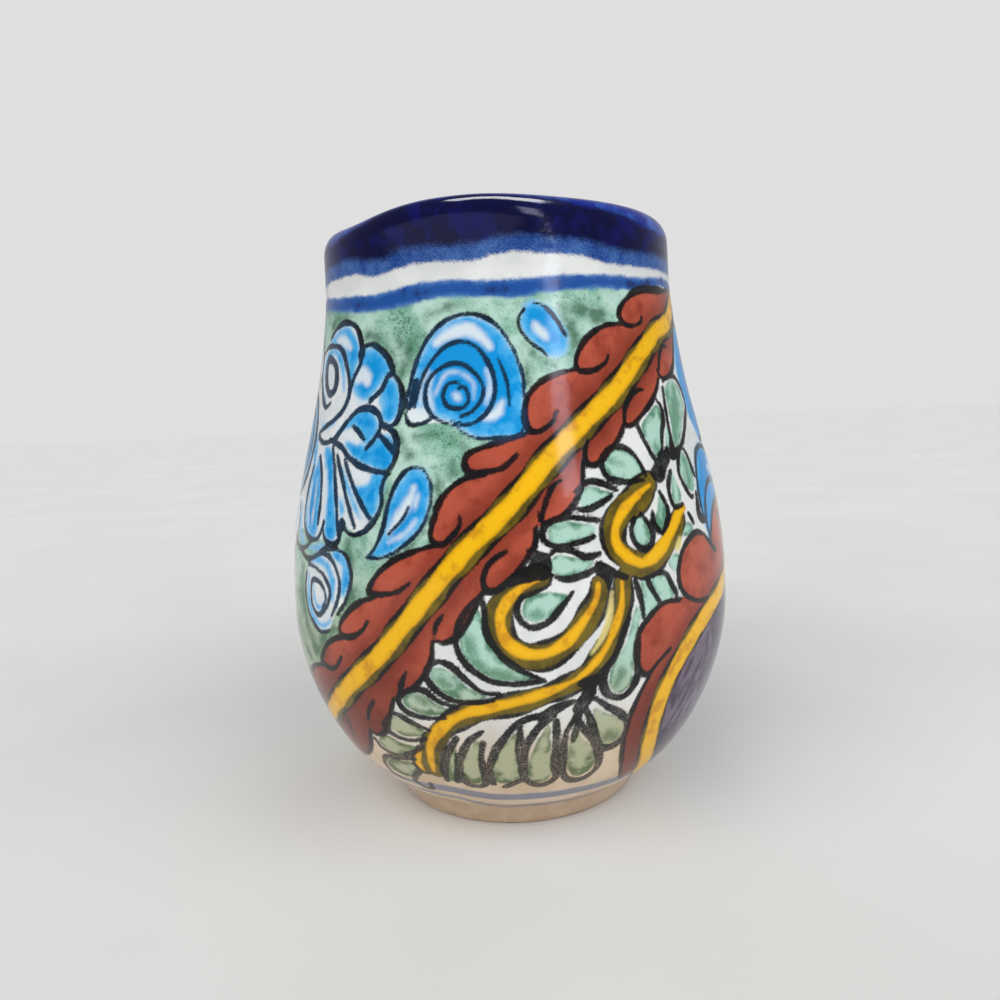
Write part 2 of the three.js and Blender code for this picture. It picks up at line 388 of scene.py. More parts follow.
def link(name, vertices, faces, normals=None):
    """A smooth mesh object in metres."""
    mesh = bpy.data.meshes.new(name)
    mesh.from_pydata(np.asarray(vertices, float) * MM, [], faces)
    mesh.polygons.foreach_set("use_smooth", [True] * len(mesh.polygons))
    if normals is not None:
        mesh.normals_split_custom_set_from_vertices(normals.tolist())
    thing = bpy.data.objects.new(name, mesh)
    bpy.context.scene.collection.objects.link(thing)
    return thing


def ring_faces(rings, columns, closed=False):
    """Quads that join rings of points, and the last ring to the first if closed."""
    ring = np.arange(rings if closed else rings - 1)[:, None]
    column = np.arange(columns)[None, :]
    low, high = ring * columns, (ring + 1) % rings * columns
    following = (column + 1) % columns
    return np.stack([low + column, low + following, high + following, high + column], -1).reshape(-1, 4)


def fan_faces(centre, first, columns, upwards):
    """Triangles from a middle point to a ring."""
    column = np.arange(columns)
    this, following = first + column, first + (column + 1) % columns
    ring = (this, following) if upwards else (following, this)
    return np.stack([np.full(columns, centre), *ring], -1)


def write_layers(thing, layers):
    """Keeps the signed distances of the layers of paint as attributes of the mesh."""
    for key, values in layers.items():
        attribute = thing.data.attributes.new(key, "FLOAT", "POINT")
        attribute.data.foreach_set("value", np.asarray(values, np.float32).reshape(-1))


def read(items, key):
    """One whole number from each of a mesh's corners or faces."""
    values = np.zeros(len(items), int)
    items.foreach_get(key, values)
    return values


def unwrap(thing, across, along, halves):
    """Lays the faces out flat for baking: each half of the way round gets its own strip."""
    mesh = thing.data
    corner = read(mesh.loops, "vertex_index")
    start = read(mesh.polygons, "loop_start")
    total = read(mesh.polygons, "loop_total")
    turn = across[corner]
    first = np.minimum.reduceat(np.where(np.isnan(turn), 1, turn), start)
    last = np.maximum.reduceat(np.where(np.isnan(turn), 0, turn), start)
    wraps = np.repeat(last - first > 0.5, total)
    turn = np.where(wraps & (turn < 0.5), turn + 1, turn)
    middle = np.repeat(np.where(last - first > 0.5, (first + 1 + last) / 2, (first + last) / 2), total)
    turn = np.where(np.isnan(turn), middle, turn)
    half = np.minimum(np.floor(middle * halves), halves - 1)
    u = UV_MARGIN + (1 - 2 * UV_MARGIN) * (turn * halves - half)
    v = (half + UV_MARGIN + (1 - 2 * UV_MARGIN) * along[corner]) / halves
    layer = mesh.uv_layers.new(name="OFBake")
    layer.data.foreach_set("uv", np.stack([u, v], 1).astype(np.float32).reshape(-1))


def vessel_piece(name, vessel, rows, layers, middles=None, inside_share=1.0, halves=1):
    """A closed piece made of some rows of the vessel. Its ends meet, or each has a middle point."""
    rows = np.array(rows)
    normals = vessel.normals()[rows]
    vertices = vessel.points[rows].reshape(-1, 3)
    directions = normals.reshape(-1, 3)
    faces = ring_faces(len(rows), COLUMNS, middles is None).tolist()
    steps = np.abs(np.diff(vessel.arc[rows]))
    steps[rows[1:] > vessel.inside_neck] *= inside_share
    steps[np.diff(rows) > 1] = 1
    along = np.concatenate([[0], np.cumsum(steps)])
    along = np.repeat(along / along[-1], COLUMNS)
    across = np.tile(np.arange(COLUMNS) / COLUMNS, len(rows))
    if middles:
        low, high = len(vertices), len(vertices) + 1
        vertices = np.vstack([vertices, [(0, 0, middles[0])], [(0, 0, middles[1])]])
        directions = np.vstack([directions, [(0, 0, -1)], [(0, 0, 1)]])
        faces += fan_faces(low, 0, COLUMNS, False).tolist()
        faces += fan_faces(high, (len(rows) - 1) * COLUMNS, COLUMNS, True).tolist()
        along = np.append(along, (0, 1))
        across = np.append(across, (np.nan, np.nan))
    thing = link(name, vertices, faces, directions)
    kept = {}
    for key in layers:
        values = vessel.layer(key)[rows].reshape(-1)
        kept[key] = np.append(values, (FAR, FAR)) if middles else values
    write_layers(thing, kept)
    unwrap(thing, across, along, halves)
    return thing


class Brush:
    """Paints strokes and filled shapes on the vessel, in degrees round and millimetres up.

    A brush can carry a motif elsewhere: turned about its own middle, mirrored or scaled, and moved."""

    def __init__(self, vessel, middle=(0, 0), to=None, turn=0, flip=1, size=1):
        self.vessel = vessel
        self.middle = np.array(middle, float)
        self.to = self.middle if to is None else np.array(to, float)
        self.turn, self.flip, self.size = math.radians(turn), flip, size
        self.strokes = 0

    def place(self, points):
        """Where the motif's points lie on the vessel, as degrees and arc length."""
        offset = (np.array(points, float) - self.middle) * self.size * (self.flip, 1)
        cos, sin = math.cos(self.turn), math.sin(self.turn)
        moved = np.stack([offset[:, 0] * cos - offset[:, 1] * sin,
                          offset[:, 0] * sin + offset[:, 1] * cos], 1) + self.to
        return np.stack([moved[:, 0], self.vessel.arc_at(moved[:, 1] + PAINT_LEVEL)], 1)

    def line(self, points, closed=False, aside=0):
        """The smooth line of a stroke, moved some millimetres to the left of its way if asked."""
        line = smooth(self.place(points), closed)
        if aside:
            scale = np.radians(np.interp(line[:, 1], self.vessel.arc, self.vessel.radius))
            way = np.gradient(line * np.stack([scale, np.ones(len(scale))], 1), axis=0)
            way /= np.maximum(np.linalg.norm(way, axis=1), TINY)[:, None]
            line = line + aside * np.stack([-way[:, 1] / scale, way[:, 0]], 1)
        return line

    def region(self, points, margin):
        """The rows and columns of the vessel's grid near some placed points."""
        vessel = self.vessel
        rows = np.flatnonzero((vessel.arc > points[:, 1].min() - margin)
                              & (vessel.arc < points[:, 1].max() + margin))
        scale = np.radians(vessel.radius[rows])
        spread = margin / scale.min()
        pitch = 360 / COLUMNS
        first = math.floor((points[:, 0].min() - spread + 180) / pitch)
        last = math.ceil((points[:, 0].max() + spread + 180) / pitch)
        columns = np.arange(first, min(last, first + COLUMNS - 1) + 1)
        return rows, columns % COLUMNS, columns * pitch - 180, scale

    def distance(self, near, points, widths=None):
        """Distance of the grid's points from a chain of short segments, less the stroke's half width."""
        rows, columns, degrees, scale = near
        x = degrees[None, :]
        y = self.vessel.arc[rows][:, None]
        across = scale[:, None]
        best = np.full((len(rows), len(columns)), FAR)
        for index in range(len(points) - 1):
            a, b = points[index], points[index + 1]
            ax, ay = (x - a[0]) * across, y - a[1]
            bx, by = (b[0] - a[0]) * across, b[1] - a[1]
            t = np.clip((ax * bx + ay * by) / np.maximum(bx * bx + by * by, TINY), 0, 1)
            away = np.hypot(ax - t * bx, ay - t * by)
            if widths is not None:
                away = away - (widths[index] + (widths[index + 1] - widths[index]) * t)
            np.minimum(best, away, out=best)
        return best

    def stroke(self, name, points, width=1.5, start=0.7, end=0.7, closed=False, lively=0.13, aside=0):
        """A brush stroke of some full width, with its ends wider or narrower than its middle."""
        line = self.line(points, closed, aside)
        self.strokes += 1
        t = np.linspace(0, 1, len(line))
        shape = 1 if closed else np.interp(t, [0, 0.25, 0.75, 1], [start, 1, 1, end])
        sway = 1 + lively * np.sin(np.arange(len(line)) * SWAY_PACE + self.strokes * SWAY_SHIFT)
        widths = 0.5 * width * self.size * shape * sway
        layer = self.vessel.layer(name)
        for first in range(0, len(line) - 1, CHAIN):
            chain = slice(first, first + CHAIN + 1)
            near = self.region(line[chain], widths.max() + PAINT_REACH)
            cells = np.ix_(near[0], near[1])
            layer[cells] = np.minimum(layer[cells], self.distance(near, line[chain], widths[chain]))

    def fill(self, name, points, grow=0.0):
        """A filled shape with a smooth edge, swollen or shrunk by some millimetres."""
        self.fill_inside(name, self.line(points, closed=True), grow)

    def fill_inside(self, name, outline, grow=0.0):
        """Fills a placed outline as it is."""
        if (outline[0] != outline[-1]).any():
            outline = np.vstack([outline, outline[:1]])
        near = self.region(outline, PAINT_REACH + abs(grow))
        rows, columns, degrees, scale = near
        x = degrees[None, :] + 0 * scale[:, None]
        y = self.vessel.arc[rows][:, None] + 0 * x
        inside = np.zeros(x.shape, bool)
        for a, b in zip(outline[:-1], outline[1:]):
            if a[1] != b[1]:
                crossing = (a[1] > y) != (b[1] > y)
                inside ^= crossing & (x < (b[0] - a[0]) * (y - a[1]) / (b[1] - a[1]) + a[0])
        away = self.distance(near, outline)
        layer = self.vessel.layer(name)
        cells = np.ix_(rows, columns)
        layer[cells] = np.minimum(layer[cells], np.where(inside, -away, away) - grow)


def ink_all(brush, lines, width=1.5):
    """Draws several dark outlines of one width."""
    for line in lines:
        brush.stroke("ink", line, width)


def wash_all(brush, name, shapes, grow=0.0):
    """Fills several shapes with one wash of colour."""
    for shape in shapes:
        brush.fill(name, shape, grow)


def streak_all(brush, name, streaks):
    """Brushes several tapering streaks, each with its own width."""
    for streak, width in streaks:
        brush.stroke(name, streak, width, start=0.6, end=0.5)


def dab(brush, name, place, lean, reach, width):
    """A short stroke about its own middle, upright or leaning."""
    x, y = place
    brush.stroke(name, [(x - lean, y - reach), (x, y), (x + lean, y + reach)], width)


def rosette(brush):
    """The right half of the big blue flower: curled petals above and a fan of petals below."""
    brush.fill("blossom", [
        (-80, 112), (-80, 121), (-76, 123.6), (-71, 122), (-67, 121), (-61, 123), (-56, 125.3), (-50, 126),
        (-45, 124.5), (-41.5, 119.5), (-38, 120), (-34, 118.5), (-29.5, 113), (-26, 106.5), (-28, 100),
        (-26.5, 97), (-29, 91), (-29.5, 84.5), (-33, 79), (-36.5, 77.3), (-41, 79), (-42.5, 75.5),
        (-48, 75), (-56, 74.5), (-61.5, 76), (-66, 75), (-70, 71.6), (-76, 69.2), (-80, 71), (-80, 80)],
        -0.4)
    wash_all(brush, "blue", [
        [(-61, 121.6), (-57, 123.6), (-53, 124.6), (-49, 124.4), (-45.3, 122.2), (-43, 119.3), (-42.6, 117),
         (-44.4, 114.6), (-45.6, 112), (-47.2, 115.5), (-50, 118.8), (-54, 120.7), (-58, 121.2)],
        [(-41.3, 118.4), (-37.5, 119), (-33.6, 117.4), (-30.7, 114.3), (-31.6, 113), (-34, 110.3),
         (-37, 107.9), (-40.3, 107.4), (-43, 109.3), (-44.2, 112), (-42.6, 115.5)],
        [(-30.8, 111.8), (-28.6, 110.8), (-27, 107.5), (-27.3, 104.3), (-29.3, 102.2), (-31.4, 103),
         (-32.6, 105.5), (-33, 108), (-32, 110.4)],
        [(-48.5, 100.3), (-44, 102.9), (-40.5, 104.5), (-37, 104.9), (-34, 103.7), (-32.7, 101.3),
         (-34, 98.8), (-36.3, 97.3), (-38.3, 99.3), (-41, 101.5), (-44, 101.4)],
        [(-44, 97.7), (-39, 97.3), (-36, 97.1), (-33.5, 98.5), (-31, 99.4), (-28.6, 99), (-27.3, 96),
         (-27.6, 93.6), (-29.5, 92), (-33, 92.6), (-37.5, 93.8), (-41.5, 95.7)],
        [(-57, 94.6), (-58.8, 90), (-60.2, 85.5), (-60.3, 80.5), (-58.2, 76.7), (-54.5, 75.5), (-52.2, 78),
         (-52.4, 84), (-54, 90), (-55.7, 93.3)],
        [(-53.8, 96), (-51, 91), (-49.3, 85), (-48.8, 79), (-47.3, 76.1), (-44.4, 75.9), (-43.3, 78.3),
         (-45.2, 84), (-47.7, 90.5), (-50.5, 96)],
        [(-29.2, 90.5), (-30, 86), (-31, 83), (-33, 81.5), (-35.7, 84.3), (-38.3, 87.3), (-36, 88),
         (-33.8, 88.7), (-32.3, 91)]], 0.5)
    streak_all(brush, "blue", [
        ([(-65, 113), (-64.5, 117), (-61, 119.2), (-56, 119.4), (-51.8, 117), (-49.6, 113.5), (-48.6, 110)],
         2.3),
        ([(-65, 112), (-63, 109), (-59.5, 107.6)], 1.8),
        ([(-59, 101.5), (-54, 102), (-49.5, 103.8)], 1.7),
        ([(-43, 85), (-41.7, 81.5)], 2.2),
        ([(-44, 91.5), (-39.5, 86), (-35.5, 81)], 1.6),
        ([(-62, 99), (-60, 92), (-60.5, 84)], 2.6),
        ([(-66, 82), (-64, 76), (-60, 73)], 2.6),
        ([(-57, 72.6), (-52, 73), (-46, 74)], 1.6)])
    streak_all(brush, "pale", [
        ([(-55.5, 122.3), (-51, 121.7), (-47.3, 119.8)], 2.4),
        ([(-42.8, 112.5), (-40, 113.2), (-38, 111.3)], 3.4),
        ([(-47, 106.5), (-42.5, 107.6), (-38.5, 106.6)], 1.3),
        ([(-36.5, 106.7), (-34, 105.3), (-33, 103)], 1.6),
        ([(-45, 99.7), (-42, 99.3), (-39.5, 98)], 2.0),
        ([(-59.2, 88), (-59.3, 82), (-57.8, 78)], 1.5),
        ([(-55.8, 89), (-55.3, 84), (-55.5, 78.5)], 0.8),
        ([(-51.2, 91), (-49.5, 84), (-48.8, 78.5)], 1.5),
        ([(-47, 93.5), (-44.5, 88.5), (-42.5, 84.5)], 1.3),
        ([(-40, 91.2), (-37.5, 90.5), (-34.5, 89.7)], 2.4)])
    ink_all(brush, [
        [(-61, 123), (-56, 125.3), (-50, 126), (-45, 124.5), (-42.5, 121.5), (-41.5, 118), (-42, 115.5),
         (-44, 113), (-45, 110.5)],
        [(-66.5, 120), (-63, 121), (-58, 121), (-54, 120.5), (-51, 119), (-48.5, 116), (-46.7, 113),
         (-45.5, 110), (-46, 107.5), (-48, 105), (-51.5, 103.2), (-55, 102), (-60.5, 100)],
        [(-67, 120), (-68, 116), (-66, 112), (-63, 109), (-60.5, 107), (-58, 106.3), (-55.5, 107.3)],
        [(-41.5, 119.5), (-38, 120), (-34, 118.5), (-31, 116), (-29.5, 113), (-31, 112.5), (-33, 109.5),
         (-36.5, 107.3)],
        [(-29.5, 113), (-27, 110.5), (-26, 106.5), (-27, 102.8), (-29, 101.3), (-31.5, 102)],
        [(-31, 101), (-28, 100), (-26.5, 97), (-27, 93.5), (-29, 91.2)],
        [(-60, 99), (-56, 97.7), (-50, 98.5), (-45, 102.5), (-41, 105), (-37, 105.5), (-33.5, 104.3),
         (-32, 101.5), (-33.5, 98.8), (-36, 96.5)],
        [(-42, 101.5), (-39.5, 100.3), (-37, 98.5)],
        [(-33, 100), (-30, 98), (-27.3, 95.5)],
        [(-52, 98.5), (-46, 97), (-42, 94.5), (-37, 92.5), (-32, 91.5), (-28, 91)]], 1.65)
    brush.stroke("ink", [
        (-62, 117.5), (-59, 117.8), (-55, 116), (-53.5, 113), (-54, 110.3), (-57, 109.4), (-60, 111),
        (-62.3, 114.5)], 2.3, closed=True)
    brush.stroke("ink", [(-41.6, 119), (-41.8, 117)], 3.0)
    ink_all(brush, [
        [(-60, 92), (-61.5, 86), (-61.5, 80), (-59.5, 76.5), (-56, 74.8), (-52, 75), (-50, 77),
         (-49, 79.5)],
        [(-56.5, 94.5), (-53.5, 90), (-52, 84), (-52, 78.5)],
        [(-50, 97), (-47, 91), (-44.5, 84), (-43, 78), (-42.5, 76.5)],
        [(-49.5, 78), (-48, 75.5), (-45, 74.5), (-42.5, 75.5), (-41.5, 79.3)],
        [(-47, 95), (-43, 89), (-39.5, 83), (-37, 79)],
        [(-43.5, 94), (-38, 87), (-33, 81.5), (-31.5, 80.8)],
        [(-41, 79.5), (-39.5, 77.8), (-36.5, 77.3), (-33, 79), (-31, 81), (-29.5, 84.5), (-30, 88),
         (-28.5, 91)],
        [(-70, 74), (-64, 71.5), (-58, 72.5), (-55, 74.3)],
        [(-62, 71), (-57, 69.8), (-52, 71), (-48, 73), (-43, 73.7)]], 1.45)
    brush.stroke("ink", [(-41.6, 80), (-41.4, 78.5)], 2.6)


def rosette_eye(brush):
    """The round eye in the middle of the big flower, drawn about its own centre."""
    x, y = ROSETTE_MIDDLE
    rings = ((11.9, "blue", 2.6), (12.9, "ink", 1.9), (9.4, "ink", 1.6), (6.6, "blue", 5.0),
             (3.2, "ink", 1.3))
    for radius, name, width in rings:
        ring = [(x + radius * math.sin(a), y + radius * 1.02 * math.cos(a)) for a in np.linspace(0, 5.7, 9)]
        brush.stroke(name, ring, width, closed=True)
    brush.fill("pale", [(-77.5, 97), (-76, 98.6), (-74.4, 97), (-76, 95.5)])
    streak_all(brush, "blue", [
        ([(-76, 122), (-76, 112)], 5.0),
        ([(-78.5, 84), (-79, 74)], 3.6),
        ([(-73.5, 84), (-73, 74)], 3.6)])
    ink_all(brush, [
        [(-69, 111.5), (-68, 117), (-71, 122), (-76, 124.3), (-81, 122), (-84, 117), (-83, 111.5)],
        [(-68.5, 83), (-66.8, 77), (-70, 71), (-76, 68.3), (-82, 71), (-85.2, 77), (-83.5, 83)],
        [(-76, 83), (-76, 73)]], 1.5)


def curl_flower(brush):
    """A small round flower that curls in on itself."""
    edge = [
        (-58, 66), (-57.5, 60), (-55, 54.5), (-50, 52.5), (-45, 54), (-42.5, 58), (-38.5, 62), (-37, 67),
        (-38, 71), (-43, 74), (-52, 73)]
    brush.fill("blossom", edge, -1.1)
    streak_all(brush, "blue", [
        ([(-55.5, 66), (-56, 62), (-54.8, 57.5), (-52, 55), (-48.5, 54.8), (-45.5, 56.5)], 2.0),
        ([(-53, 64), (-52.3, 60.2), (-50, 58.8), (-47.5, 60), (-47, 63)], 1.1),
        ([(-54.5, 70), (-50.5, 70.3), (-46.5, 69.3), (-44.3, 66), (-44.3, 61.5)], 2.4),
        ([(-43.5, 72.5), (-40, 71), (-39.2, 67.5), (-40.5, 63.8)], 3.4)])
    ink_all(brush, [
        [(-43, 73.7), (-39.5, 72.5), (-38, 70), (-37.5, 67), (-39.5, 62), (-42.5, 58.5)],
        [(-52, 71.5), (-47, 72), (-43.5, 70), (-41.5, 66), (-42.5, 61.5), (-45, 57.5)],
        [(-57, 66.5), (-58, 62), (-56.5, 57), (-53.5, 54.5), (-50, 53), (-46, 54)],
        [(-56, 68.5), (-52, 68.3), (-48, 67), (-45.3, 64), (-45.8, 61), (-48, 58.5), (-51, 57), (-53.8, 59),
         (-54.3, 62), (-53.5, 65), (-50.5, 65.2), (-48, 64), (-47, 61.5), (-48.5, 59.3)]], 1.3)


def spiral_flower(brush):
    """A blue flower wound as a spiral of two petals."""
    brush.fill("blossom", [
        (-25, 106), (-24.5, 111), (-22.5, 117), (-19, 121.5), (-14, 124.3), (-8, 125), (-3, 123.5),
        (1, 120.5), (3.8, 116), (5.3, 111), (5, 106), (5.3, 101), (4.3, 98), (0, 97.5), (-6, 97.7),
        (-11, 99.7), (-14, 101), (-20, 101.4), (-24, 102.2)], -0.5)
    brush.fill("blue", [
        (-24.3, 106.5), (-23.7, 110.5), (-21.8, 116), (-18.5, 120.5), (-13.7, 123.5), (-8, 124.3),
        (-3, 122.8), (0.7, 119.8), (3.2, 115.6), (4.7, 111), (4.6, 105.5), (5, 101), (4, 98.5), (0, 98),
        (-6, 98.2), (-10, 99.9), (-13, 101.5), (-16, 102.8), (-19.5, 103.2), (-22, 105)], 0.2)
    brush.fill("pale", [(-24.5, 104), (-23, 102.2), (-19, 102.3), (-17.3, 103.3), (-20.8, 105.3)])
    streak_all(brush, "pale", [
        ([(-17, 118.9), (-13.5, 120.8), (-9, 121.4), (-5.5, 120), (-3, 117.5)], 2.9),
        ([(-19.3, 113.3), (-21, 109.5), (-20.8, 106)], 1.0),
        ([(-17.9, 112.2), (-19, 108.5), (-17.5, 104.6)], 1.0),
        ([(-4.6, 102.3), (-1.8, 103.2), (-0.3, 105.5)], 2.2),
        ([(-11.9, 107.5), (-10.7, 106.7)], 1.7),
        ([(-3.8, 112.5), (-3.2, 109), (-4.3, 105.5)], 0.8),
        ([(-16.8, 108), (-14.8, 111.8), (-11, 112.4), (-7.4, 110), (-7.2, 106.5)], 0.3)])
    ink_all(brush, [
        [(-25, 105), (-24, 110.5), (-22, 116.2), (-18.6, 121), (-14, 123.9), (-8, 124.9), (-3, 123.4),
         (0.8, 120.3), (3.4, 116)],
        [(-22.5, 105), (-21.8, 108), (-20.5, 112), (-18, 115.3), (-15, 117.8), (-11, 119), (-7, 118),
         (-4, 115), (-2.3, 111.5), (-2, 108), (-3.3, 104.5), (-6, 102), (-9.5, 101), (-12.5, 102)],
        [(-25, 104), (-23.5, 101.5), (-20, 101.7), (-17.5, 102.8)],
        [(-12, 101), (-16, 102.3), (-19, 105), (-19.7, 109), (-18, 112), (-15, 113.8), (-11, 114.3),
         (-7.5, 112.5), (-5, 109.5), (-5.3, 106.5), (-7.5, 104), (-10.5, 102.8)],
        [(-11, 110.3), (-13.5, 110), (-15, 108), (-14.2, 105.6), (-12, 104.6), (-9.3, 105), (-8.5, 107),
         (-9.6, 109.2), (-11, 108.8)]], 1.12)
    ink_all(brush, [
        [(3.4, 116), (5, 111), (4.8, 106)],
        [(-1, 115), (0.3, 112), (1.2, 108.5), (1.3, 104.5)],
        [(5, 101), (3, 98.4), (-2, 98.1), (-6, 98), (-10, 99.5), (-11.5, 101)]], 0.85)
    brush.stroke("ink", [(-24, 105), (-22.8, 107.5), (-22.4, 111)], 2.0)


def bud(brush):
    """A small blue bud, with dark lines beside it."""
    brush.fill("blue", [
        (7, 126.4), (5.3, 123), (6.5, 120), (10, 116.5), (14, 115), (17.2, 116.5), (16.4, 121), (13.2, 125),
        (9.5, 126.8)], 0.4)
    brush.stroke("pale", [(8.8, 122.3), (10, 120.7), (11.6, 119)], 1.9, 0.4, 0.4)
    ink_all(brush, [
        [(6.5, 125.5), (4.8, 123.5), (5, 121), (7, 118.5), (10, 116.5), (11.5, 115.2)],
        [(9, 126.7), (12, 125.7), (15, 122.7), (17, 119.3)]], 0.95)


def blue_leaf(brush):
    """A blue leaf with its dark rib."""
    edge = [
        (-33, 72.5), (-31, 74.5), (-29, 78.5), (-27.8, 84), (-26, 88.8), (-23, 92), (-19.5, 92.2),
        (-17.3, 89), (-17.3, 84), (-19.3, 79.3), (-23, 75.8), (-28, 73)]
    brush.fill("blossom", edge, -0.4)
    brush.fill("blue", edge)
    streak_all(brush, "pale", [
        ([(-21.5, 88), (-22, 85.8), (-24.3, 82.3), (-27, 78.3)], 2.2),
        ([(-20.3, 86.5), (-20.8, 84)], 1.0),
        ([(-27, 76.3), (-23, 78.3), (-20.5, 81)], 0.9)])
    ink_all(brush, [edge[:7]], 1.2)
    ink_all(brush, [edge[6:] + edge[:1], [(-22.3, 84), (-23.8, 81.2), (-27.3, 77.8)]], 0.95)


# Each green leaf as its outline's fill and the dark strokes round it
LOOSE_LEAVES = (
    ([(33.5, 87.5), (31, 92.5), (27.5, 94.3), (24, 93.5), (22.3, 91), (24, 88.5), (28, 87.5)],
     [[(34, 88), (31.5, 92.8), (27.5, 94.8), (23.7, 93.8), (22, 91), (23.7, 88), (28, 87), (33, 87)]]),
    ([(15.5, 85), (18, 86.8), (21, 85.8), (24, 84.5), (21, 83), (16.5, 82.5)],
     [[(15, 86), (18.5, 87.8), (22, 87), (25, 85.5)], [(14.8, 82.3), (17, 82), (20, 82.8), (23.5, 84.5)]]),
    ([(8, 77), (8.5, 79), (11, 79.8), (15, 79.3), (18.5, 78), (17, 76.5), (12, 75.3), (9, 75.5)],
     [[(19.5, 79.5), (15, 80.3), (12.5, 80.7), (8.5, 80), (6.8, 78), (7.3, 76), (10, 74.7), (15, 75.3),
       (18, 76.2)]]),
    ([(8, 71.5), (9.5, 73), (12, 72.5), (15, 71.5), (17.5, 71), (16, 69.5), (12, 68.3), (9, 69)],
     [[(8, 73), (9.5, 74), (13, 73.5), (16, 72), (19, 72.5)],
      [(8, 69), (11, 67.8), (15, 68.3), (18, 69.5), (19, 70.5)]]),
    ([(2, 62), (2.5, 64), (5, 65.3), (9, 65), (11.5, 64), (9, 61), (6, 59.5), (3, 59.8)],
     [[(2, 65), (0.7, 62), (1.5, 59.5), (4, 58), (7, 59), (10, 62), (12.5, 65)]]),
    ([(28, 76), (28.5, 78.5), (30, 79.5), (31.5, 77.5), (32.5, 75), (31, 72.8), (29, 73)],
     [[(28.5, 79), (27.3, 76.5), (28, 73.5), (30, 72.2), (32.5, 73), (33, 75.5), (31.5, 78.5),
       (30.3, 80)]]),
    ([(34.5, 77), (35.5, 80), (37, 83), (38.3, 80.5), (38, 77.5), (36, 75.3)],
     [[(37.3, 84), (38.8, 81), (38.8, 78), (36.5, 75)], [(34, 80), (34, 77), (36, 74.8)]]),
    ([(41.5, 82), (42.3, 86), (43.3, 87.5), (44.5, 85), (45, 82), (43.5, 80.7)],
     [[(43, 88.2), (41, 85.5), (40.8, 82), (42, 80), (45, 80.3)]]),
    ([(36, 99), (37.5, 94.5), (39.5, 91), (41.5, 93.5), (43.5, 98), (44.3, 101.5), (43.5, 103.3),
      (40.5, 102)],
     [[(34.5, 99), (36, 95), (38, 91.3), (39.5, 90.5)],
      [(41.5, 93), (43, 97), (45, 100), (45.3, 103), (43.8, 104.5)]]),
    ([(43.5, 93), (45, 97.5), (46.3, 98), (46.5, 92.5)], []),
    ([(49, 106), (48.5, 100), (47.5, 94.5), (49, 93.5), (52, 96.5), (57, 101), (59.5, 104), (58, 107.5),
      (54.5, 109), (50.5, 107.8)],
     [[(48.3, 107.5), (47, 101), (46.3, 93.5), (48, 92.5), (52, 94.5), (57, 99), (61, 103), (60.5, 107),
       (57.5, 109.8), (53, 110), (49, 109)]]),
    ([(49, 92.5), (47, 88), (48.5, 84), (51, 83), (53, 86), (52, 90)],
     [[(49, 92.8), (46.5, 89), (46.5, 86), (49, 82), (50.5, 81.5)], [(50.8, 93), (52.5, 91), (54, 86)]]),
    ([(42.5, 74), (45, 76), (47.5, 75), (46, 73)], [[(46.8, 78), (48.5, 75.5)]]),
    ([(28, 57.5), (28.5, 63), (29, 66), (31, 65.5), (33, 60.5), (32, 58)],
     [[(27, 66), (28.3, 61), (28.8, 57)], [(30, 65.7), (32, 62), (34, 59)]]),
    ([(32, 66), (36, 65), (38, 61), (36, 59.3), (34, 60), (32, 64)],
     [[(31.5, 66), (35.5, 66), (37.5, 63), (39, 60.5)]]),
    ([(37, 67.5), (39, 69.5), (41, 68.5), (39.5, 66)], []),
    ([(-9.5, 61), (-8, 63.5), (-6, 60), (-5, 56), (-3, 52), (0.5, 49), (4, 47), (1, 46.3), (-4, 47),
      (-8, 49.5), (-10.5, 53), (-11, 57)],
     [[(-7, 65), (-10, 61.5), (-12, 56), (-10.5, 51), (-6, 47), (-1, 45.8), (5.5, 46)],
      [(-6, 64), (-5.5, 58), (-3, 52.5), (1, 49), (6, 46)]]),
    ([(-17.8, 48), (-16, 49.5), (-13, 48), (-9.5, 44.5), (-6, 43), (-9, 42), (-13, 42.5), (-16.5, 44.5)],
     [[(-3.5, 43.5), (-7, 44), (-10.5, 47), (-13.5, 50), (-16.5, 50.7), (-19, 48.5), (-18, 45), (-14, 42),
       (-9, 41.5), (-5, 42)]]),
    ([(-25.5, 41), (-23, 43), (-20, 42.3), (-16, 40), (-13.5, 39.3), (-17, 38), (-21, 37.5), (-24.5, 39)],
     [[(-13, 40), (-17, 41.5), (-20, 43.8), (-24, 43.3), (-26.8, 40.5), (-25, 37.8), (-21, 36.8),
       (-16, 37.3)]]),
    ([(-31.5, 33), (-29.5, 35.8), (-26, 35), (-22, 33.3), (-20.5, 32.5), (-24, 31.5), (-28, 31)],
     [[(-20.3, 33.5), (-25, 35.3), (-29, 36.8), (-31.5, 34.5), (-33, 32.3), (-30, 30.2), (-26, 29.8),
       (-22, 31)]]),
    ([(-37, 27.5), (-34, 29.7), (-30, 28.5), (-25, 27.8), (-29, 25.5), (-34, 24.5), (-36.5, 26)],
     [[(-38.5, 27.5), (-37, 24.8), (-32, 23.8), (-28, 25.5), (-23.5, 28)]]),
    ([(-39.5, 18.5), (-37, 21.5), (-32, 22.3), (-28, 22), (-29, 19), (-33, 16.5), (-37, 16.3)],
     [[(-27, 24), (-33, 22.8), (-38, 22), (-41, 18.5), (-40.5, 15.5), (-37, 14.5)],
      [(-28, 20.5), (-31.5, 16)],
      [(-27, 20), (-31, 17), (-32, 15), (-30, 13), (-27.5, 13.3), (-26.5, 15.5)]]))

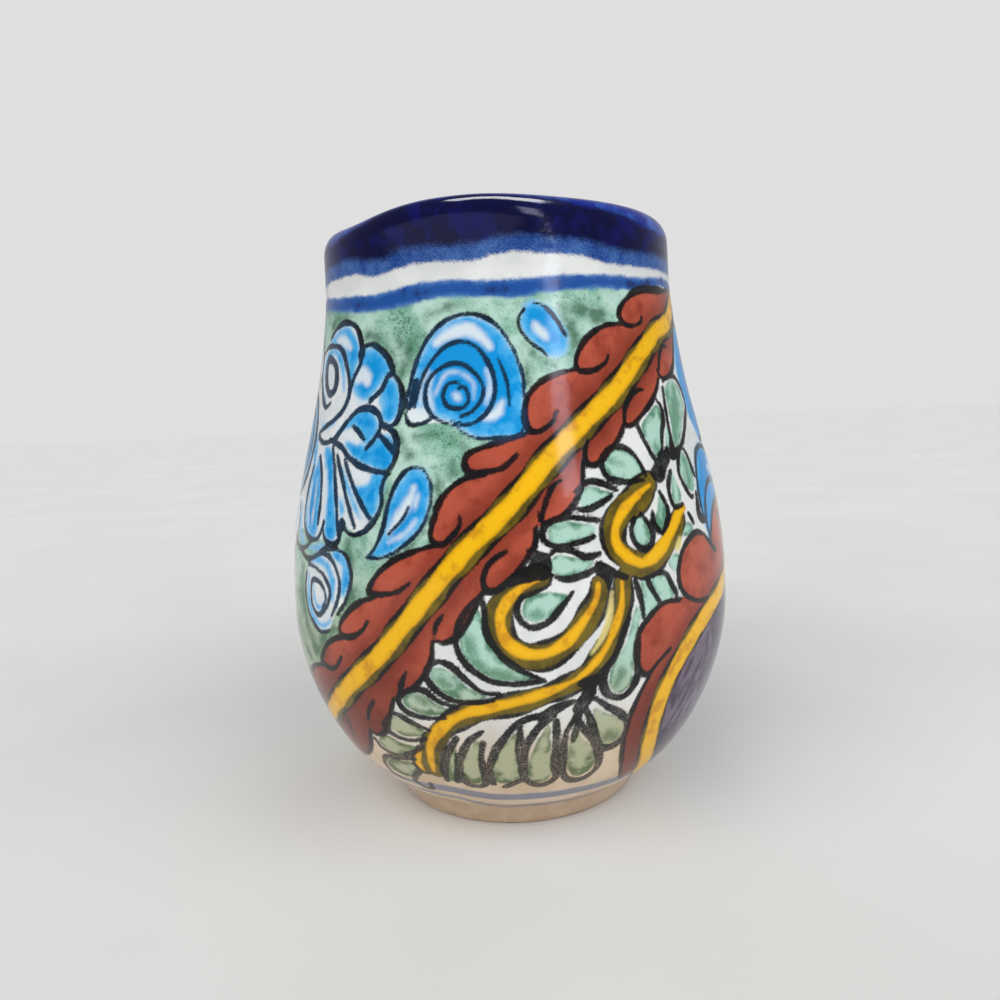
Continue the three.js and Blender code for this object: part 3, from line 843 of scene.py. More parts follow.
# The row of drops that hangs under the long stem
DROPS = (
    ([(-19.5, 19), (-17, 25.5), (-15, 29), (-15.5, 22), (-16.5, 18.5)],
     [[(-14, 32), (-17, 27.5), (-19.5, 22), (-20, 18)], [(-14.8, 27), (-15.8, 21), (-17, 18)]]),
    ([(-14.5, 21), (-12.5, 27), (-9, 31.5), (-9.5, 25), (-9.5, 20), (-12, 18)],
     [[(-8, 34), (-11.5, 31), (-14, 26), (-15.5, 20.5), (-13.5, 17.3), (-10, 17.2), (-8.5, 20), (-9, 26),
       (-8, 31)]]),
    ([(-6.5, 21), (-5.5, 27), (-2.5, 31), (0, 33.5), (-0.5, 27), (0.5, 21), (-2, 18.5), (-5.5, 18.8)],
     [[(5, 38), (0, 36), (-4, 31), (-6.5, 26), (-7.5, 21), (-7, 18)],
      [(-4, 17), (-1, 18.5), (1, 20)],
      [(0.5, 35), (0.3, 28), (1.3, 22), (1, 19)]]),
    ([(2, 21), (2.8, 27), (5, 32), (7, 34.5), (7.3, 28), (8, 22), (6.5, 18.5), (3, 18.5)],
     [[(8, 37.5), (4, 34), (1.5, 28), (1, 21), (3, 18), (6, 17), (9, 18.5), (9.8, 21)],
      [(8.5, 36), (8.7, 30), (8.8, 24), (9.5, 20)]]),
    ([(11.8, 26), (12.5, 33.5), (15, 30), (18, 26.5), (19.5, 22), (17.5, 19), (14.5, 19), (12, 23)],
     [[(12.5, 36), (10.8, 32), (10.7, 26), (11.5, 20), (14, 17.5), (17.5, 17.3), (20.5, 19.5), (20.7, 23),
       (18.5, 28), (14.5, 33.5), (12.8, 37)]]),
    ([(17, 38), (18, 33), (20, 28), (23, 26.8), (25.3, 29), (25, 32), (22, 35), (19, 36.5)],
     [[(14, 40), (16, 36), (18.5, 30), (20, 27), (23, 26), (26, 28), (26.3, 32), (24, 35), (20, 38),
       (17, 40.5)]]),
    ([(27, 60), (24.5, 53), (21, 47.5), (20.3, 43), (22.5, 40.5), (25, 41.5), (26, 45), (26, 51),
      (27.5, 57)],
     [[(25, 58), (21.5, 50), (19, 46.5), (19, 42.5), (21.5, 40), (24.5, 39.8), (27, 43), (27, 47),
       (27.3, 53)]]))


def leaves(brush, kinds, ink=1.6):
    """Green leaves with dark strokes round them."""
    for edge, outlines in kinds:
        brush.fill("leaf", edge, 0.15)
        ink_all(brush, outlines, ink)


def knots(brush):
    """The dark strokes and blots where stems meet."""
    ink_all(brush, [
        [(36.5, 88.3), (39.5, 89.3), (42, 91.3), (43.5, 93)],
        [(13.5, 44.5), (16.5, 44.7), (18, 45.5)],
        [(16.3, 44), (15.5, 41), (14, 38)],
        [(12.8, 38.3), (14.5, 41.5), (15, 43)],
        [(12, 40.5), (8, 39), (5, 37)]], 2.6)
    ink_all(brush, [
        [(43, 92), (46, 91.3), (49, 93)],
        [(45, 92), (46.5, 96)],
        [(14, 38), (13.3, 34), (12.7, 30)]], 1.8)
    wash_all(brush, "ink", [
        [(35.5, 88.8), (37.5, 90.3), (40.5, 93.2), (43.8, 92.8), (44, 90.8), (41.5, 88.6), (39.8, 86.3),
         (37.5, 85.8), (36, 87)],
        [(3.3, 74.8), (6.5, 74), (8.3, 72.8), (8.5, 70), (7.6, 68.2), (4.5, 67.7), (1, 67.2), (-1, 66.7),
         (1.3, 69.7), (3.7, 71.8)],
        [(18, 71), (20.5, 70.2), (23, 68.4), (25.8, 66.8), (24.3, 65.8), (22.2, 67), (20.6, 64),
         (19.6, 66.5), (17.4, 68.7)]])


def scroll(brush, vein, width, edge, shadow):
    """A yellow scroll over wider olive and a dark outline. Its olive is heavier on one side."""
    brush.stroke("under", vein, width + 2 * edge + SCROLL_OUTLINE, 0.9, 0.85, aside=shadow)
    brush.stroke("olive", vein, width + 2 * edge, 0.85, 0.8, aside=shadow)
    brush.stroke("yellow", vein, width, 0.45, 0.4, lively=0.15)


def upper_scroll(brush):
    """The hook at the upper right of the leaves."""
    scroll(brush, [
        (34.5, 85.8), (30.5, 84), (26, 81), (23.3, 77.3), (23.6, 73.3), (27.3, 70), (31.2, 69.2),
        (35.7, 71.5), (39.7, 75.4), (42, 77.4)], 2.4, 1.2, -0.5)
    tip = [
        (23.5, 80.5), (26, 83.6), (30, 86.2), (34, 87.6), (35.6, 86.3), (34.8, 83.2), (31.5, 80.4),
        (27.5, 79), (25.3, 79.2)]
    brush.fill("under", tip, 0.7)
    brush.fill("olive", tip)
    brush.fill("olive", [(40, 72.3), (42.5, 76), (44.5, 78.5), (44.3, 76), (42.5, 73), (41, 71)])
    brush.fill("pale_yellow", [(39.5, 71), (41.5, 73.2), (42.3, 73), (42, 71), (40.5, 70)])
    brush.stroke("yellow", [(30, 69.6), (34.5, 71.2), (39, 75), (43, 78.6), (45.2, 79.6)], 3.2, 0.6, 0.45)


def lower_scroll(brush):
    """The bowl-shaped hook in the middle of the leaves."""
    scroll(brush, [
        (5.6, 68.2), (1.7, 66.5), (-1.7, 63), (-2.7, 59), (-1.3, 55), (2.5, 52.4), (7, 52.4), (11.7, 55.3),
        (15.3, 59.5), (17.6, 63), (18.1, 66)], 2.5, 1.25, -0.5)


def long_stem(brush):
    """The long yellow stem over the drops."""
    scroll(brush, [
        (23.8, 66.5), (23.3, 61), (21.6, 56.3), (19.2, 51.8), (15.6, 47.8), (11.5, 45)], 1.8, 1.2, 0.25)
    brush.stroke("pale_yellow", [(21.2, 64), (20.4, 59), (18.6, 54.6), (16, 51.2)], 1.5, 0.5, 0.3)
    scroll(brush, [
        (13.5, 46), (8, 43.9), (1, 41.8), (-6, 40.2), (-11, 38.8), (-16, 35.6), (-20, 31), (-22, 26.3),
        (-22.8, 21)], 2.6, 0.95, 0.5)
    scroll(brush, [(-24.3, 27.5), (-26.5, 23.3), (-26, 20.5)], 1.7, 0.5, 0.4)


def fill_back(brush, spine, edge):
    """Fills red from an edge back to the ribbon's middle line."""
    outline = brush.line(edge)
    middle = brush.line(spine)
    near = [int(np.argmin(np.hypot(middle[:, 0] - end[0], middle[:, 1] - end[1])))
            for end in (outline[0], outline[-1])]
    way = -1 if near[1] > near[0] else 1
    back = middle[near[1]:near[0] + way:way] if near[0] + way >= 0 else middle[near[1]::way]
    brush.fill_inside("red", np.vstack([outline, back]), 0.25)


def lobe(brush, spine, edge, curl=None):
    """One lobe of a red ribbon."""
    fill_back(brush, spine, edge)
    brush.stroke("ink", edge, 1.5, 0.8, 0.7)
    if curl:
        brush.stroke("ink", curl, 1.4, 0.8, 0.6)


def lobes_along(brush, spine, edges):
    """The lobes down one side of a ribbon, with the wedges between them filled."""
    for edge, curl in edges:
        lobe(brush, spine, edge, curl)
    for (edge, _), (following, _) in zip(edges, edges[1:]):
        fill_back(brush, spine, following[:1] + edge[-3:])


def vein(brush, spine, width, olive, ink, shade):
    """The yellow vein of a ribbon, on olive that shows at one side and between thin dark lines."""
    brush.stroke("under", spine, width + olive + ink, 1, 1, aside=shade, lively=0.05)
    brush.stroke("olive", spine, width + olive, 1, 1, aside=shade)
    brush.stroke("yellow", spine, width, 1, 1, lively=0.06)


# The ribbon that climbs across the front, from low on the left to the neck on the right
CLIMBING_SPINE = [
    (-107, 7.5), (-95, 14), (-80, 22.3), (-70, 24), (-60, 28.2), (-50, 34.6), (-40, 42.5), (-30, 51),
    (-20, 62.5), (-10, 74.2), (0, 83.5), (10, 93.5), (20, 101), (30, 107.6), (40, 114.7), (50, 120.4),
    (60, 123.5), (66, 126.5), (73, 131), (78, 135.5)]
UPPER_LOBES = (
    ([(70, 132.5), (60, 131.2), (52, 130.5), (45, 130), (40, 128.7), (36, 126.3), (34.5, 124), (36.5, 122),
      (40, 121.8), (43.5, 122.8), (44, 124)], None),
    ([(34.5, 122), (30, 121.8), (25, 120), (21.5, 117.5), (19.3, 114.5), (19.3, 112), (22, 111.5),
      (25, 112), (28, 113.5), (29, 115)], None),
    ([(18.5, 112), (13, 111), (8.5, 109), (5.5, 106), (4.8, 102.5), (5.5, 99.5), (8, 99), (11.5, 101),
      (12.5, 103)], None),
    ([(4.5, 98.5), (0, 97.5), (-4, 96.5), (-8.5, 95), (-9.5, 93), (-8.3, 91), (-5, 91), (-1, 91.7),
      (2.3, 94.3)], None),
    ([(-5, 90.5), (-10, 89.5), (-14, 86.5), (-16, 82.5), (-17, 77.5), (-14.5, 76), (-12, 78), (-10.5, 80),
      (-10.5, 82)], None),
    ([(-15, 76.2), (-20, 74.8), (-25, 72.8), (-29, 70), (-31.5, 67), (-32.3, 64.8), (-29, 64.7),
      (-25, 65.5), (-22, 67.5)], None),
    ([(-31, 64), (-36, 61.8), (-40, 58.5), (-42, 55.5), (-41, 53.8), (-38, 54), (-34.5, 56), (-32.8, 58.3)],
     None),
    ([(-40, 53.8), (-44, 52.5), (-48, 50), (-50.5, 47), (-51.5, 45), (-48, 44.3), (-45.5, 45),
      (-43.5, 46.8), (-42.3, 48.3)], None),
    ([(-51, 44.5), (-56, 43), (-60, 41), (-64, 38.5), (-68, 36), (-66, 33), (-60, 34), (-58.5, 35.5)],
     None),
    ([(-68, 36), (-76, 35), (-84, 33), (-88, 29), (-84, 27)], None),
    ([(-84, 31), (-91, 27), (-97, 22), (-100, 18), (-96, 17)], None))
LOWER_LOBES = (
    ([(66, 122), (62, 117), (58, 112.5), (53, 110), (48.5, 109.8), (47.5, 111.5)],
     [(48.5, 112), (50, 115), (53, 117.3), (56, 117.5)]),
    ([(47, 109.5), (45, 107), (42, 104.5), (38, 102), (34, 99.7), (31.5, 99), (30.5, 100)],
     [(30.5, 100), (31.5, 103), (34, 105.5), (37, 107), (39, 107)]),
    ([(30, 99), (28, 96.5), (25, 94), (21.5, 91.5), (18.8, 91.5), (18.3, 94), (19.5, 96.5)], None),
    ([(17.5, 92), (16.5, 87), (14, 83), (10.5, 80.5), (7, 80), (6.5, 82)],
     [(7, 80.5), (8, 84), (10, 87.5), (12, 88.5)]),
    ([(5.5, 79), (5, 75), (2, 71), (-2, 67), (-4.5, 66), (-5.8, 67.5), (-5.5, 70), (-4, 72.5), (-1, 74.3)],
     None),
    ([(-6, 66), (-8, 62), (-11, 57), (-14.5, 55), (-16.5, 55.5)], [(-16.5, 57), (-16, 59), (-14.5, 61)]),
    ([(-17, 55), (-17.5, 51), (-20, 46.5), (-24, 43), (-27, 41)], [(-26, 42), (-25, 45), (-23.5, 48)]),
    ([(-28, 40.5), (-30, 36), (-33, 31), (-37, 29), (-38.5, 30)], [(-38, 33), (-36.5, 36), (-34, 39)]),
    ([(-39, 29.5), (-41.5, 25), (-45, 21.5), (-50, 19), (-53, 18.5)],
     [(-49.5, 24), (-48.5, 28), (-47, 31)]),
    ([(-54, 17), (-60, 14.5), (-68, 13), (-72, 12.5)], None),
    ([(-70, 16), (-77, 12), (-86, 10), (-90, 9)], None))


def climbing_ribbon(brush):
    """The red ribbon with its lobes and its yellow vein."""
    brush.stroke("red", CLIMBING_SPINE, 10)
    lobes_along(brush, CLIMBING_SPINE, UPPER_LOBES)
    lobes_along(brush, CLIMBING_SPINE, LOWER_LOBES)
    brush.stroke("ink", [(62, 131.3), (54, 131.1), (47, 130.7), (41, 129.4), (38, 127.8)], 1.8)
    vein(brush, CLIMBING_SPINE, 3.9, 1.7, 1.4, -0.35)


# The ribbon that rises from the base at the right and goes round the back
SIDE_SPINE = [
    (46, 8.5), (41, 16), (37, 23), (35.5, 31), (36.5, 38.5), (40.5, 45), (46, 50), (53, 53.7), (60, 56),
    (67, 58), (75, 60.5), (85, 65), (95, 70), (105, 77), (115, 84), (125, 92), (135, 100), (144, 108),
    (152, 115), (159, 123), (165, 131), (168, 136)]
SIDE_LOBES = (
    ([(60, 67), (56, 69.5), (53, 72), (49, 73.2), (45, 72), (41.5, 69), (40, 64.5), (41, 61), (44, 58.5),
      (48, 57), (52.5, 56.8)], None),
    ([(40, 59), (35, 59.3), (31, 57.5), (27.5, 54), (26.3, 49.5), (27.5, 45.5), (30, 43.5), (33, 46),
      (36.5, 48.3)], None),
    ([(30.5, 43), (28, 38), (26.5, 32), (27, 25), (29, 19), (32, 14), (34, 12)], None))
ROUND_LOBE = (
    [(56, 69), (61, 76), (68, 79), (75, 78), (80, 75), (81, 72.5)], [(73, 77.5), (70, 73), (70.5, 68)])

# The lobe that repeats towards the back, as (share of the way along a stretch of the spine, distance out),
# and the first of those stretches
BACK_LOBE_BASE = ((-0.2, 0), (1.2, 0), (1.1, 3.5), (1, 7), (0.5, 8), (0, 7), (-0.1, 3.5))
BACK_LOBE_EDGE = (
    (0.9, 8.8), (0.62, 11.3), (0.2, 11.6), (-0.1, 9.3), (-0.12, 6.6), (0.08, 5.4), (0.35, 5.8), (0.5, 7.2))
BACK_LOBES_FROM = 11


def side_ribbon(brush):
    """The second ribbon. Towards the back its lobes repeat along the upper side of the vein."""
    lobes_along(brush, SIDE_SPINE, SIDE_LOBES)
    lobe(brush, SIDE_SPINE, *ROUND_LOBE)
    stretches = SIDE_SPINE[BACK_LOBES_FROM:]
    for start, end in zip(stretches, stretches[1:]):
        way = np.subtract(end, start)
        out = np.array([-way[1], way[0]]) / np.hypot(*way)
        base, edge = ([start + along * way + away * out for along, away in corners]
                      for corners in (BACK_LOBE_BASE, BACK_LOBE_EDGE))
        brush.fill("red", base)
        brush.fill("red", edge, 0.2)
        brush.stroke("ink", edge, 1.5, 0.8, 0.7)
    vein(brush, SIDE_SPINE, 4.7, 0.9, 1.2, 0.25)


def side_flower(brush):
    """The blue flower above the second ribbon, and the pale petal over it."""
    edge = [
        (54.5, 76.5), (54, 81), (55.5, 86.5), (58.5, 91), (63, 92.7), (70, 91.5), (78, 86), (80, 76),
        (70, 70), (60, 68), (56.5, 71)]
    petal = [
        (68, 124), (63.5, 118), (61, 111), (61.3, 103), (63.5, 98), (67, 94), (74, 96), (80, 104),
        (80, 114), (75, 122)]
    brush.fill("blossom", edge, -0.3)
    brush.fill("blue", edge, 0.9)
    brush.fill("blue", petal, 0.7)
    streak_all(brush, "pale", [
        ([(74, 116), (72.5, 110), (73, 103)], 2.2),
        ([(66, 86.8), (69, 86.8), (72, 85)], 1.2)])
    ink_all(brush, [
        edge[:7] + [(80, 77)],
        petal[5:] + [(68, 124.3)],
        [(58.5, 67), (56.5, 71), (56, 76), (58, 80.5), (62, 83.3), (67, 84), (72, 82), (73, 77), (69, 74),
         (65, 76)]])
    brush.stroke("ink", [(52.5, 82), (52, 77), (54, 75.5), (56, 76)], 2.2)


def purple_dashes(brush):
    """Upright dark dashes all over the purple ground."""
    random = np.random.default_rng(7)
    spine = np.array(SIDE_SPINE, float)[4:]
    for row, height in enumerate(np.arange(*DASH_HEIGHTS)):
        for degrees in np.arange(DASH_START + 2 * (row % 2), BACK_BORDER, DASH_PITCH):
            if height > np.interp(degrees, spine[:, 0], spine[:, 1]) - DASH_CLEARANCE:
                continue
            place = degrees + random.uniform(-1.2, 1.2), height + random.uniform(-1, 1)
            lean, reach = random.uniform(-0.5, 1.4), random.uniform(1.2, 2.4)
            dab(brush, "dash", place, lean, reach, random.uniform(1.0, 1.9))


# Dark, sponged strokes over the green ground, each with its width
MOSS = (
    ([(-27.5, 110), (-26.3, 114), (-24.6, 118), (-22, 122)], 3.4),
    ([(-24.6, 119.5), (-24, 117)], 3.0),
    ([(-20, 124.5), (-14, 126.7), (-7, 127)], 2.0),
    ([(-61, 125.5), (-54, 127.4), (-47, 127.2)], 2.6),
    ([(-41, 122.5), (-36, 121.6), (-31.5, 118.5), (-28.6, 114.5)], 2.6),
    ([(-29.5, 121), (-27, 118.5)], 2.4),
    ([(6.3, 113.5), (6, 109.5)], 2.2),
    ([(17.8, 123.5), (19.5, 119.5), (18.2, 116)], 2.6),
    ([(6, 118), (9, 114.6), (13.5, 113)], 1.8),
    ([(18, 124.8), (24, 124.5), (31, 124)], 3.6),
    ([(24, 123.2), (31, 122.8)], 2.2),
    ([(-22, 99), (-15.5, 99.3), (-11.5, 97.3), (-9.5, 96)], 2.2),
    ([(-26, 99.5), (-24.5, 96), (-21.5, 93.6)], 2.2),
    ([(-16, 92), (-15.5, 86), (-17.8, 80)], 2.0),
    ([(-12, 93.5), (-12.5, 90)], 2.6),
    ([(-18.5, 78.5), (-22, 75.2), (-28, 72.2)], 2.0),
    ([(-34, 77.5), (-38.5, 75.5), (-39, 72.5), (-36, 69)], 2.6),
    ([(-35, 66.5), (-38, 63), (-41, 59)], 3.0),
    ([(-43.5, 55), (-48, 52.5), (-52, 48)], 3.6),
    ([(-58.5, 56), (-56, 50.5), (-52, 47)], 4.4),
    ([(-60, 67), (-60.5, 60), (-58, 54)], 3.6),
    ([(-63, 47), (-58, 44.5)], 3.0),
    ([(-30, 90), (-28.6, 86)], 1.6))
# The same in the leaves
LEAF_SHADES = (
    ([(48.2, 94.5), (50, 99), (53, 103), (55, 107)], 5.0),
    ([(49.5, 104), (51, 107.5)], 2.0),
    ([(39.3, 91.5), (40.2, 94.5)], 2.4),
    ([(49.8, 84), (50.6, 88), (49.8, 91.5)], 3.4),
    ([(-9.7, 56), (-8, 50.5), (-3.5, 47.8), (1.5, 46.8)], 3.2),
    ([(-16.5, 47), (-13, 44.6)], 3.0),
    ([(21.8, 42.5), (23.2, 46.5)], 2.0),
    ([(3, 61), (6, 60.6)], 1.8),
    ([(24, 92), (28, 90.5)], 1.6),
    ([(-22.5, 42), (-19, 40.6)], 1.6),
    ([(20.6, 30), (23.6, 28.6)], 2.6))


def moss(brush):
    """The darker green round the motifs, and on the back here and there."""
    for stroke, width in MOSS + LEAF_SHADES:
        brush.stroke("moss", stroke, width, 0.5, 0.4)
    random = np.random.default_rng(11)
    for _ in range(BACK_MOSS):
        place = random.uniform(*BACK_MOSS_DEGREES), random.uniform(*BACK_MOSS_HEIGHTS)
        lean, reach = random.uniform(-3, 3), random.uniform(2, 4)
        dab(brush, "moss", place, lean, reach, random.uniform(1.5, 3.5))


# The uneven edges of the painted bands, as (degrees, height)
RIM_EDGE = [
    (-180, 136.5), (-110, 136.2), (-70, 137), (-60, 137.1), (-50, 136.9), (-45, 136.6), (-40, 135.5),
    (-36, 135.2), (-32, 135.3), (-28, 136.3), (-22, 136.8), (-18, 136.6), (-12, 136), (-6, 136.2),
    (0, 137.2), (4, 137.8), (8, 137.4), (14, 137.2), (20, 137), (27, 136.6), (30, 135.8), (35, 135.4),
    (40, 135.3), (46, 135.5), (90, 136.8), (140, 135.9)]
NECK_LINE_TOP = [
    (-180, 133), (-120, 132.4), (-70, 134), (-60, 132.8), (-50, 132), (-40, 131.3), (-35, 131.3),
    (-30, 131.8), (-25, 132.4), (-18, 132.6), (-12, 132.5), (-5, 131.9), (5, 131.8), (10, 132.3),
    (20, 132.8), (30, 133.1), (46, 133.1), (60, 134.5), (100, 133.4), (140, 132.2)]
NECK_LINE_LOW = [
    (-180, 129.4), (-120, 128.3), (-70, 130.4), (-60, 129.5), (-50, 128.3), (-40, 127.5), (-35, 127.2),
    (-28, 127.5), (-22, 128.2), (-15, 128.8), (-8, 128.5), (0, 127.9), (5, 127.8), (8, 128.2), (12, 128.8),
    (20, 129.3), (28, 129.8), (42, 130), (60, 132), (100, 130), (140, 128.7)]
BASE_BAND_LOW = [
    (-180, 11.2), (-100, 12), (-60, 14.6), (-20, 13), (-8, 11.2), (30, 11), (60, 10.8), (120, 11.6)]
BASE_BAND_TOP = [
    (-180, 14), (-100, 13.9), (-60, 14.9), (-30, 15.4), (-20, 16), (-8, 14), (30, 13.8), (60, 14),
    (120, 13.6)]
FOOT_LINE_LOW = [
    (-180, 5.6), (-110, 6.5), (-60, 10.4), (-40, 10.5), (-20, 10), (-8, 5.6), (60, 5.4), (120, 5.8)]
FOOT_LINE_TOP = [
    (-180, 7.8), (-110, 8), (-60, 11.2), (-40, 11.8), (-20, 11.6), (-8, 8), (0, 8.2), (60, 8.3), (120, 7.6)]

# How far the brighter cobalt on the lip reaches down the outside, as (degrees, millimetres)
LIP_WASH = [
    (-180, 2.5), (-90, 4), (-60, 6.5), (-45, 4.5), (-30, 2.2), (-8, 1.7), (10, 2.4), (30, 4.5), (60, 8),
    (100, 4)]


def trim(vessel):
    """Ends both ribbons at the line round the neck, away from the front."""
    side = (vessel.degrees > TRIMMED_SIDE[0]) & (vessel.degrees < TRIMMED_SIDE[1])
    above = vessel.arc[:, None] - vessel.edge(NECK_LINE_LOW)[None, side] - TRIM_GAP
    for name in ("red", "under", "olive", "yellow", "ink"):
        layer = vessel.layer(name)
        layer[:, side] = np.maximum(layer[:, side], above)


def bands(vessel):
    """The dark rim with its brighter lip, the line under it and the lines at the base."""
    lip = vessel.arc[vessel.lip]
    swing = INSIDE_RIM_SWING * np.sin(np.radians(vessel.degrees * INSIDE_RIM_WAVES))
    vessel.band("rim", vessel.edge(RIM_EDGE), lip + INSIDE_RIM_DEPTH + swing)
    wash = np.array(LIP_WASH, float)
    vessel.band("lip", lip - np.interp(vessel.degrees, wash[:, 0], wash[:, 1], period=360),
                lip + LIP_WASH_INSIDE)
    for low, top in ((NECK_LINE_LOW, NECK_LINE_TOP), (BASE_BAND_LOW, BASE_BAND_TOP),
                     (FOOT_LINE_LOW, FOOT_LINE_TOP)):
        vessel.band("line", vessel.edge(low), vessel.edge(top))
    vessel.band("clay", -1, vessel.arc_at(CLAY_HEIGHT))
    # Painted shade and a painted warm reflection low down, up to their height
    vessel.band("low_shade", -1, vessel.arc_at(LOW_SHADE_HEIGHT))


def grounds(vessel):
    """The coloured grounds: green over the climbing ribbon, purple under the second one."""
    brush = Brush(vessel)
    base = vessel.arc_at(BASE + PAINT_LEVEL)
    border = BACK_BORDER - 360
    above = [(76, GROUND_TOP), (border, GROUND_TOP), (border, BASE), (-107, BASE)]
    below = [(BACK_BORDER - 2, GROUND_TOP), (BACK_BORDER - 2, BASE), (46, BASE)]
    for name, spine, far in (("green", CLIMBING_SPINE, above), ("purple", SIDE_SPINE, below)):
        line = brush.line(spine)
        brush.fill_inside(name, np.vstack([line[line[:, 1] > base], brush.place(far)]))


def paint(vessel):
    """The whole painting, the front as photographed and the hidden sides with the same motifs."""
    grounds(vessel)
    front = Brush(vessel)
    for motif in (moss, rosette, rosette_eye, curl_flower, spiral_flower, bud, blue_leaf, side_flower,
                  upper_scroll, lower_scroll, long_stem, knots, climbing_ribbon, side_ribbon, purple_dashes):
        motif(front)
    border = BACK_BORDER - 361
    front.stroke("ink", [(border, BASE + 1), (border, 60), (border, GROUND_TOP - 3)], 1.8)
    leaves(front, LOOSE_LEAVES)
    leaves(front, DROPS, 2.1)
    for motif, middle, place, turn, flip, size in (
            (rosette, ROSETTE_MIDDLE, ROSETTE_MIDDLE, 0, -1, 1),
            (spiral_flower, SPIRAL_MIDDLE, (-150, 102), 12, 1, 1),
            (spiral_flower, SPIRAL_MIDDLE, (105, 42), -20, 1, 1),
            (blue_leaf, BLUE_LEAF_MIDDLE, (-166, 70), -20, -1, 1),
            (blue_leaf, BLUE_LEAF_MIDDLE, (-120, 34), 60, 1, 0.9),
            (bud, BUD_MIDDLE, (-131, 118), 30, 1, 1),
            (bud, BUD_MIDDLE, (-171, 36), 70, 1, 1),
            (bud, BUD_MIDDLE, (-103, 42), 10, 1, 1),
            (bud, BUD_MIDDLE, (-136, 78), -40, 1, 1),
            (curl_flower, CURL_MIDDLE, (-112, 58), 0, -1, 1),
            (curl_flower, CURL_MIDDLE, (-146, 48), -15, 1, 1.1)):
        motif(Brush(vessel, middle, place, turn, flip, size))
    back = Brush(vessel, middle=(14, 66), to=(100, 98), turn=6)
    for motif in (upper_scroll, lower_scroll):
        motif(back)
    leaves(back, LOOSE_LEAVES[:8])
    leaves(Brush(vessel, middle=(-16, 44), to=(93, 119), turn=25), LOOSE_LEAVES[18:20])
    leaves(Brush(vessel, middle=(-15, 38), to=(140, 60), turn=20), LOOSE_LEAVES[17:21])
    trim(vessel)
    bands(vessel)


def linear(red, green, blue):
    """A colour given as it shows, from 0 to 255, in the renderer's own values."""
    shown = np.array([red, green, blue]) / 255
    return (*np.where(shown <= 0.04045, shown / 12.92, ((shown + 0.055) / 1.055) ** 2.4), 1)


def join_inputs(tree, node, inputs):
    """Gives some of a node's inputs their values, or joins them to other nodes' outputs."""
    for key, value in inputs:
        if isinstance(value, bpy.types.NodeSocket):
            tree.links.new(value, node.inputs[key])
        else:
            node.inputs[key].default_value = value


def add_node(tree, kind, inputs=(), **settings):
    """A new node with its settings and some of its inputs."""
    node = tree.nodes.new(kind)
    for key, value in settings.items():
        setattr(node, key, value)
    join_inputs(tree, node, inputs)
    return node


class Nodes:
    """A material's nodes, with places in millimetres, and short ways to add the kinds that it needs."""

    def __init__(self, name):
        self.material = bpy.data.materials.new(name)
        self.material.use_nodes = True
        self.tree = self.material.node_tree
        self.shader = self.tree.nodes["Principled BSDF"]
        place = self.add("ShaderNodeTexCoord").outputs["Object"]
        self.place = self.add(
            "ShaderNodeVectorMath", [(0, place), ("Scale", 1 / MM)], operation="SCALE").outputs[0]
        self.height = self.add("ShaderNodeSeparateXYZ", [(0, self.place)]).outputs[2]

    def add(self, kind, inputs=(), **settings):
        return add_node(self.tree, kind, inputs, **settings)

    def surface(self, *inputs):
        """Sets some inputs of the material's shader."""
        join_inputs(self.tree, self.shader, inputs)

    def math(self, operation, *values):
        return self.add("ShaderNodeMath", enumerate(values), operation=operation).outputs[0]

    def noise(self, scale, detail=2.0, roughness=0.5, stretch=None):
        """Even noise around 0, with features about 1/scale millimetres wide."""
        place = self.place
        if stretch:
            place = self.add("ShaderNodeMapping", [("Vector", place), ("Scale", stretch)]).outputs[0]
        node = self.add("ShaderNodeTexNoise", [
            ("Vector", place), ("Scale", scale), ("Detail", detail), ("Roughness", roughness)])
        return self.math("SUBTRACT", node.outputs[0], 0.5)

    def remap(self, value, low, high, to_low=0.0, to_high=1.0):
        """A smooth step from one value to another."""
        inputs = enumerate((value, low, high, to_low, to_high))
        return self.add("ShaderNodeMapRange", inputs, interpolation_type="SMOOTHSTEP").outputs[0]

    def plus(self, value, *added):
        """A value with some others added, each times a number."""
        for other, times in added:
            value = self.math("MULTIPLY_ADD", other, times, value)
        return value

    def mix(self, share, first, second):
        return self.add("ShaderNodeMix", [(0, share), (6, first), (7, second)], data_type="RGBA").outputs[2]

    def layer(self, name):
        node = self.add("ShaderNodeAttribute", attribute_type="GEOMETRY", attribute_name=name)
        return node.outputs["Fac"]


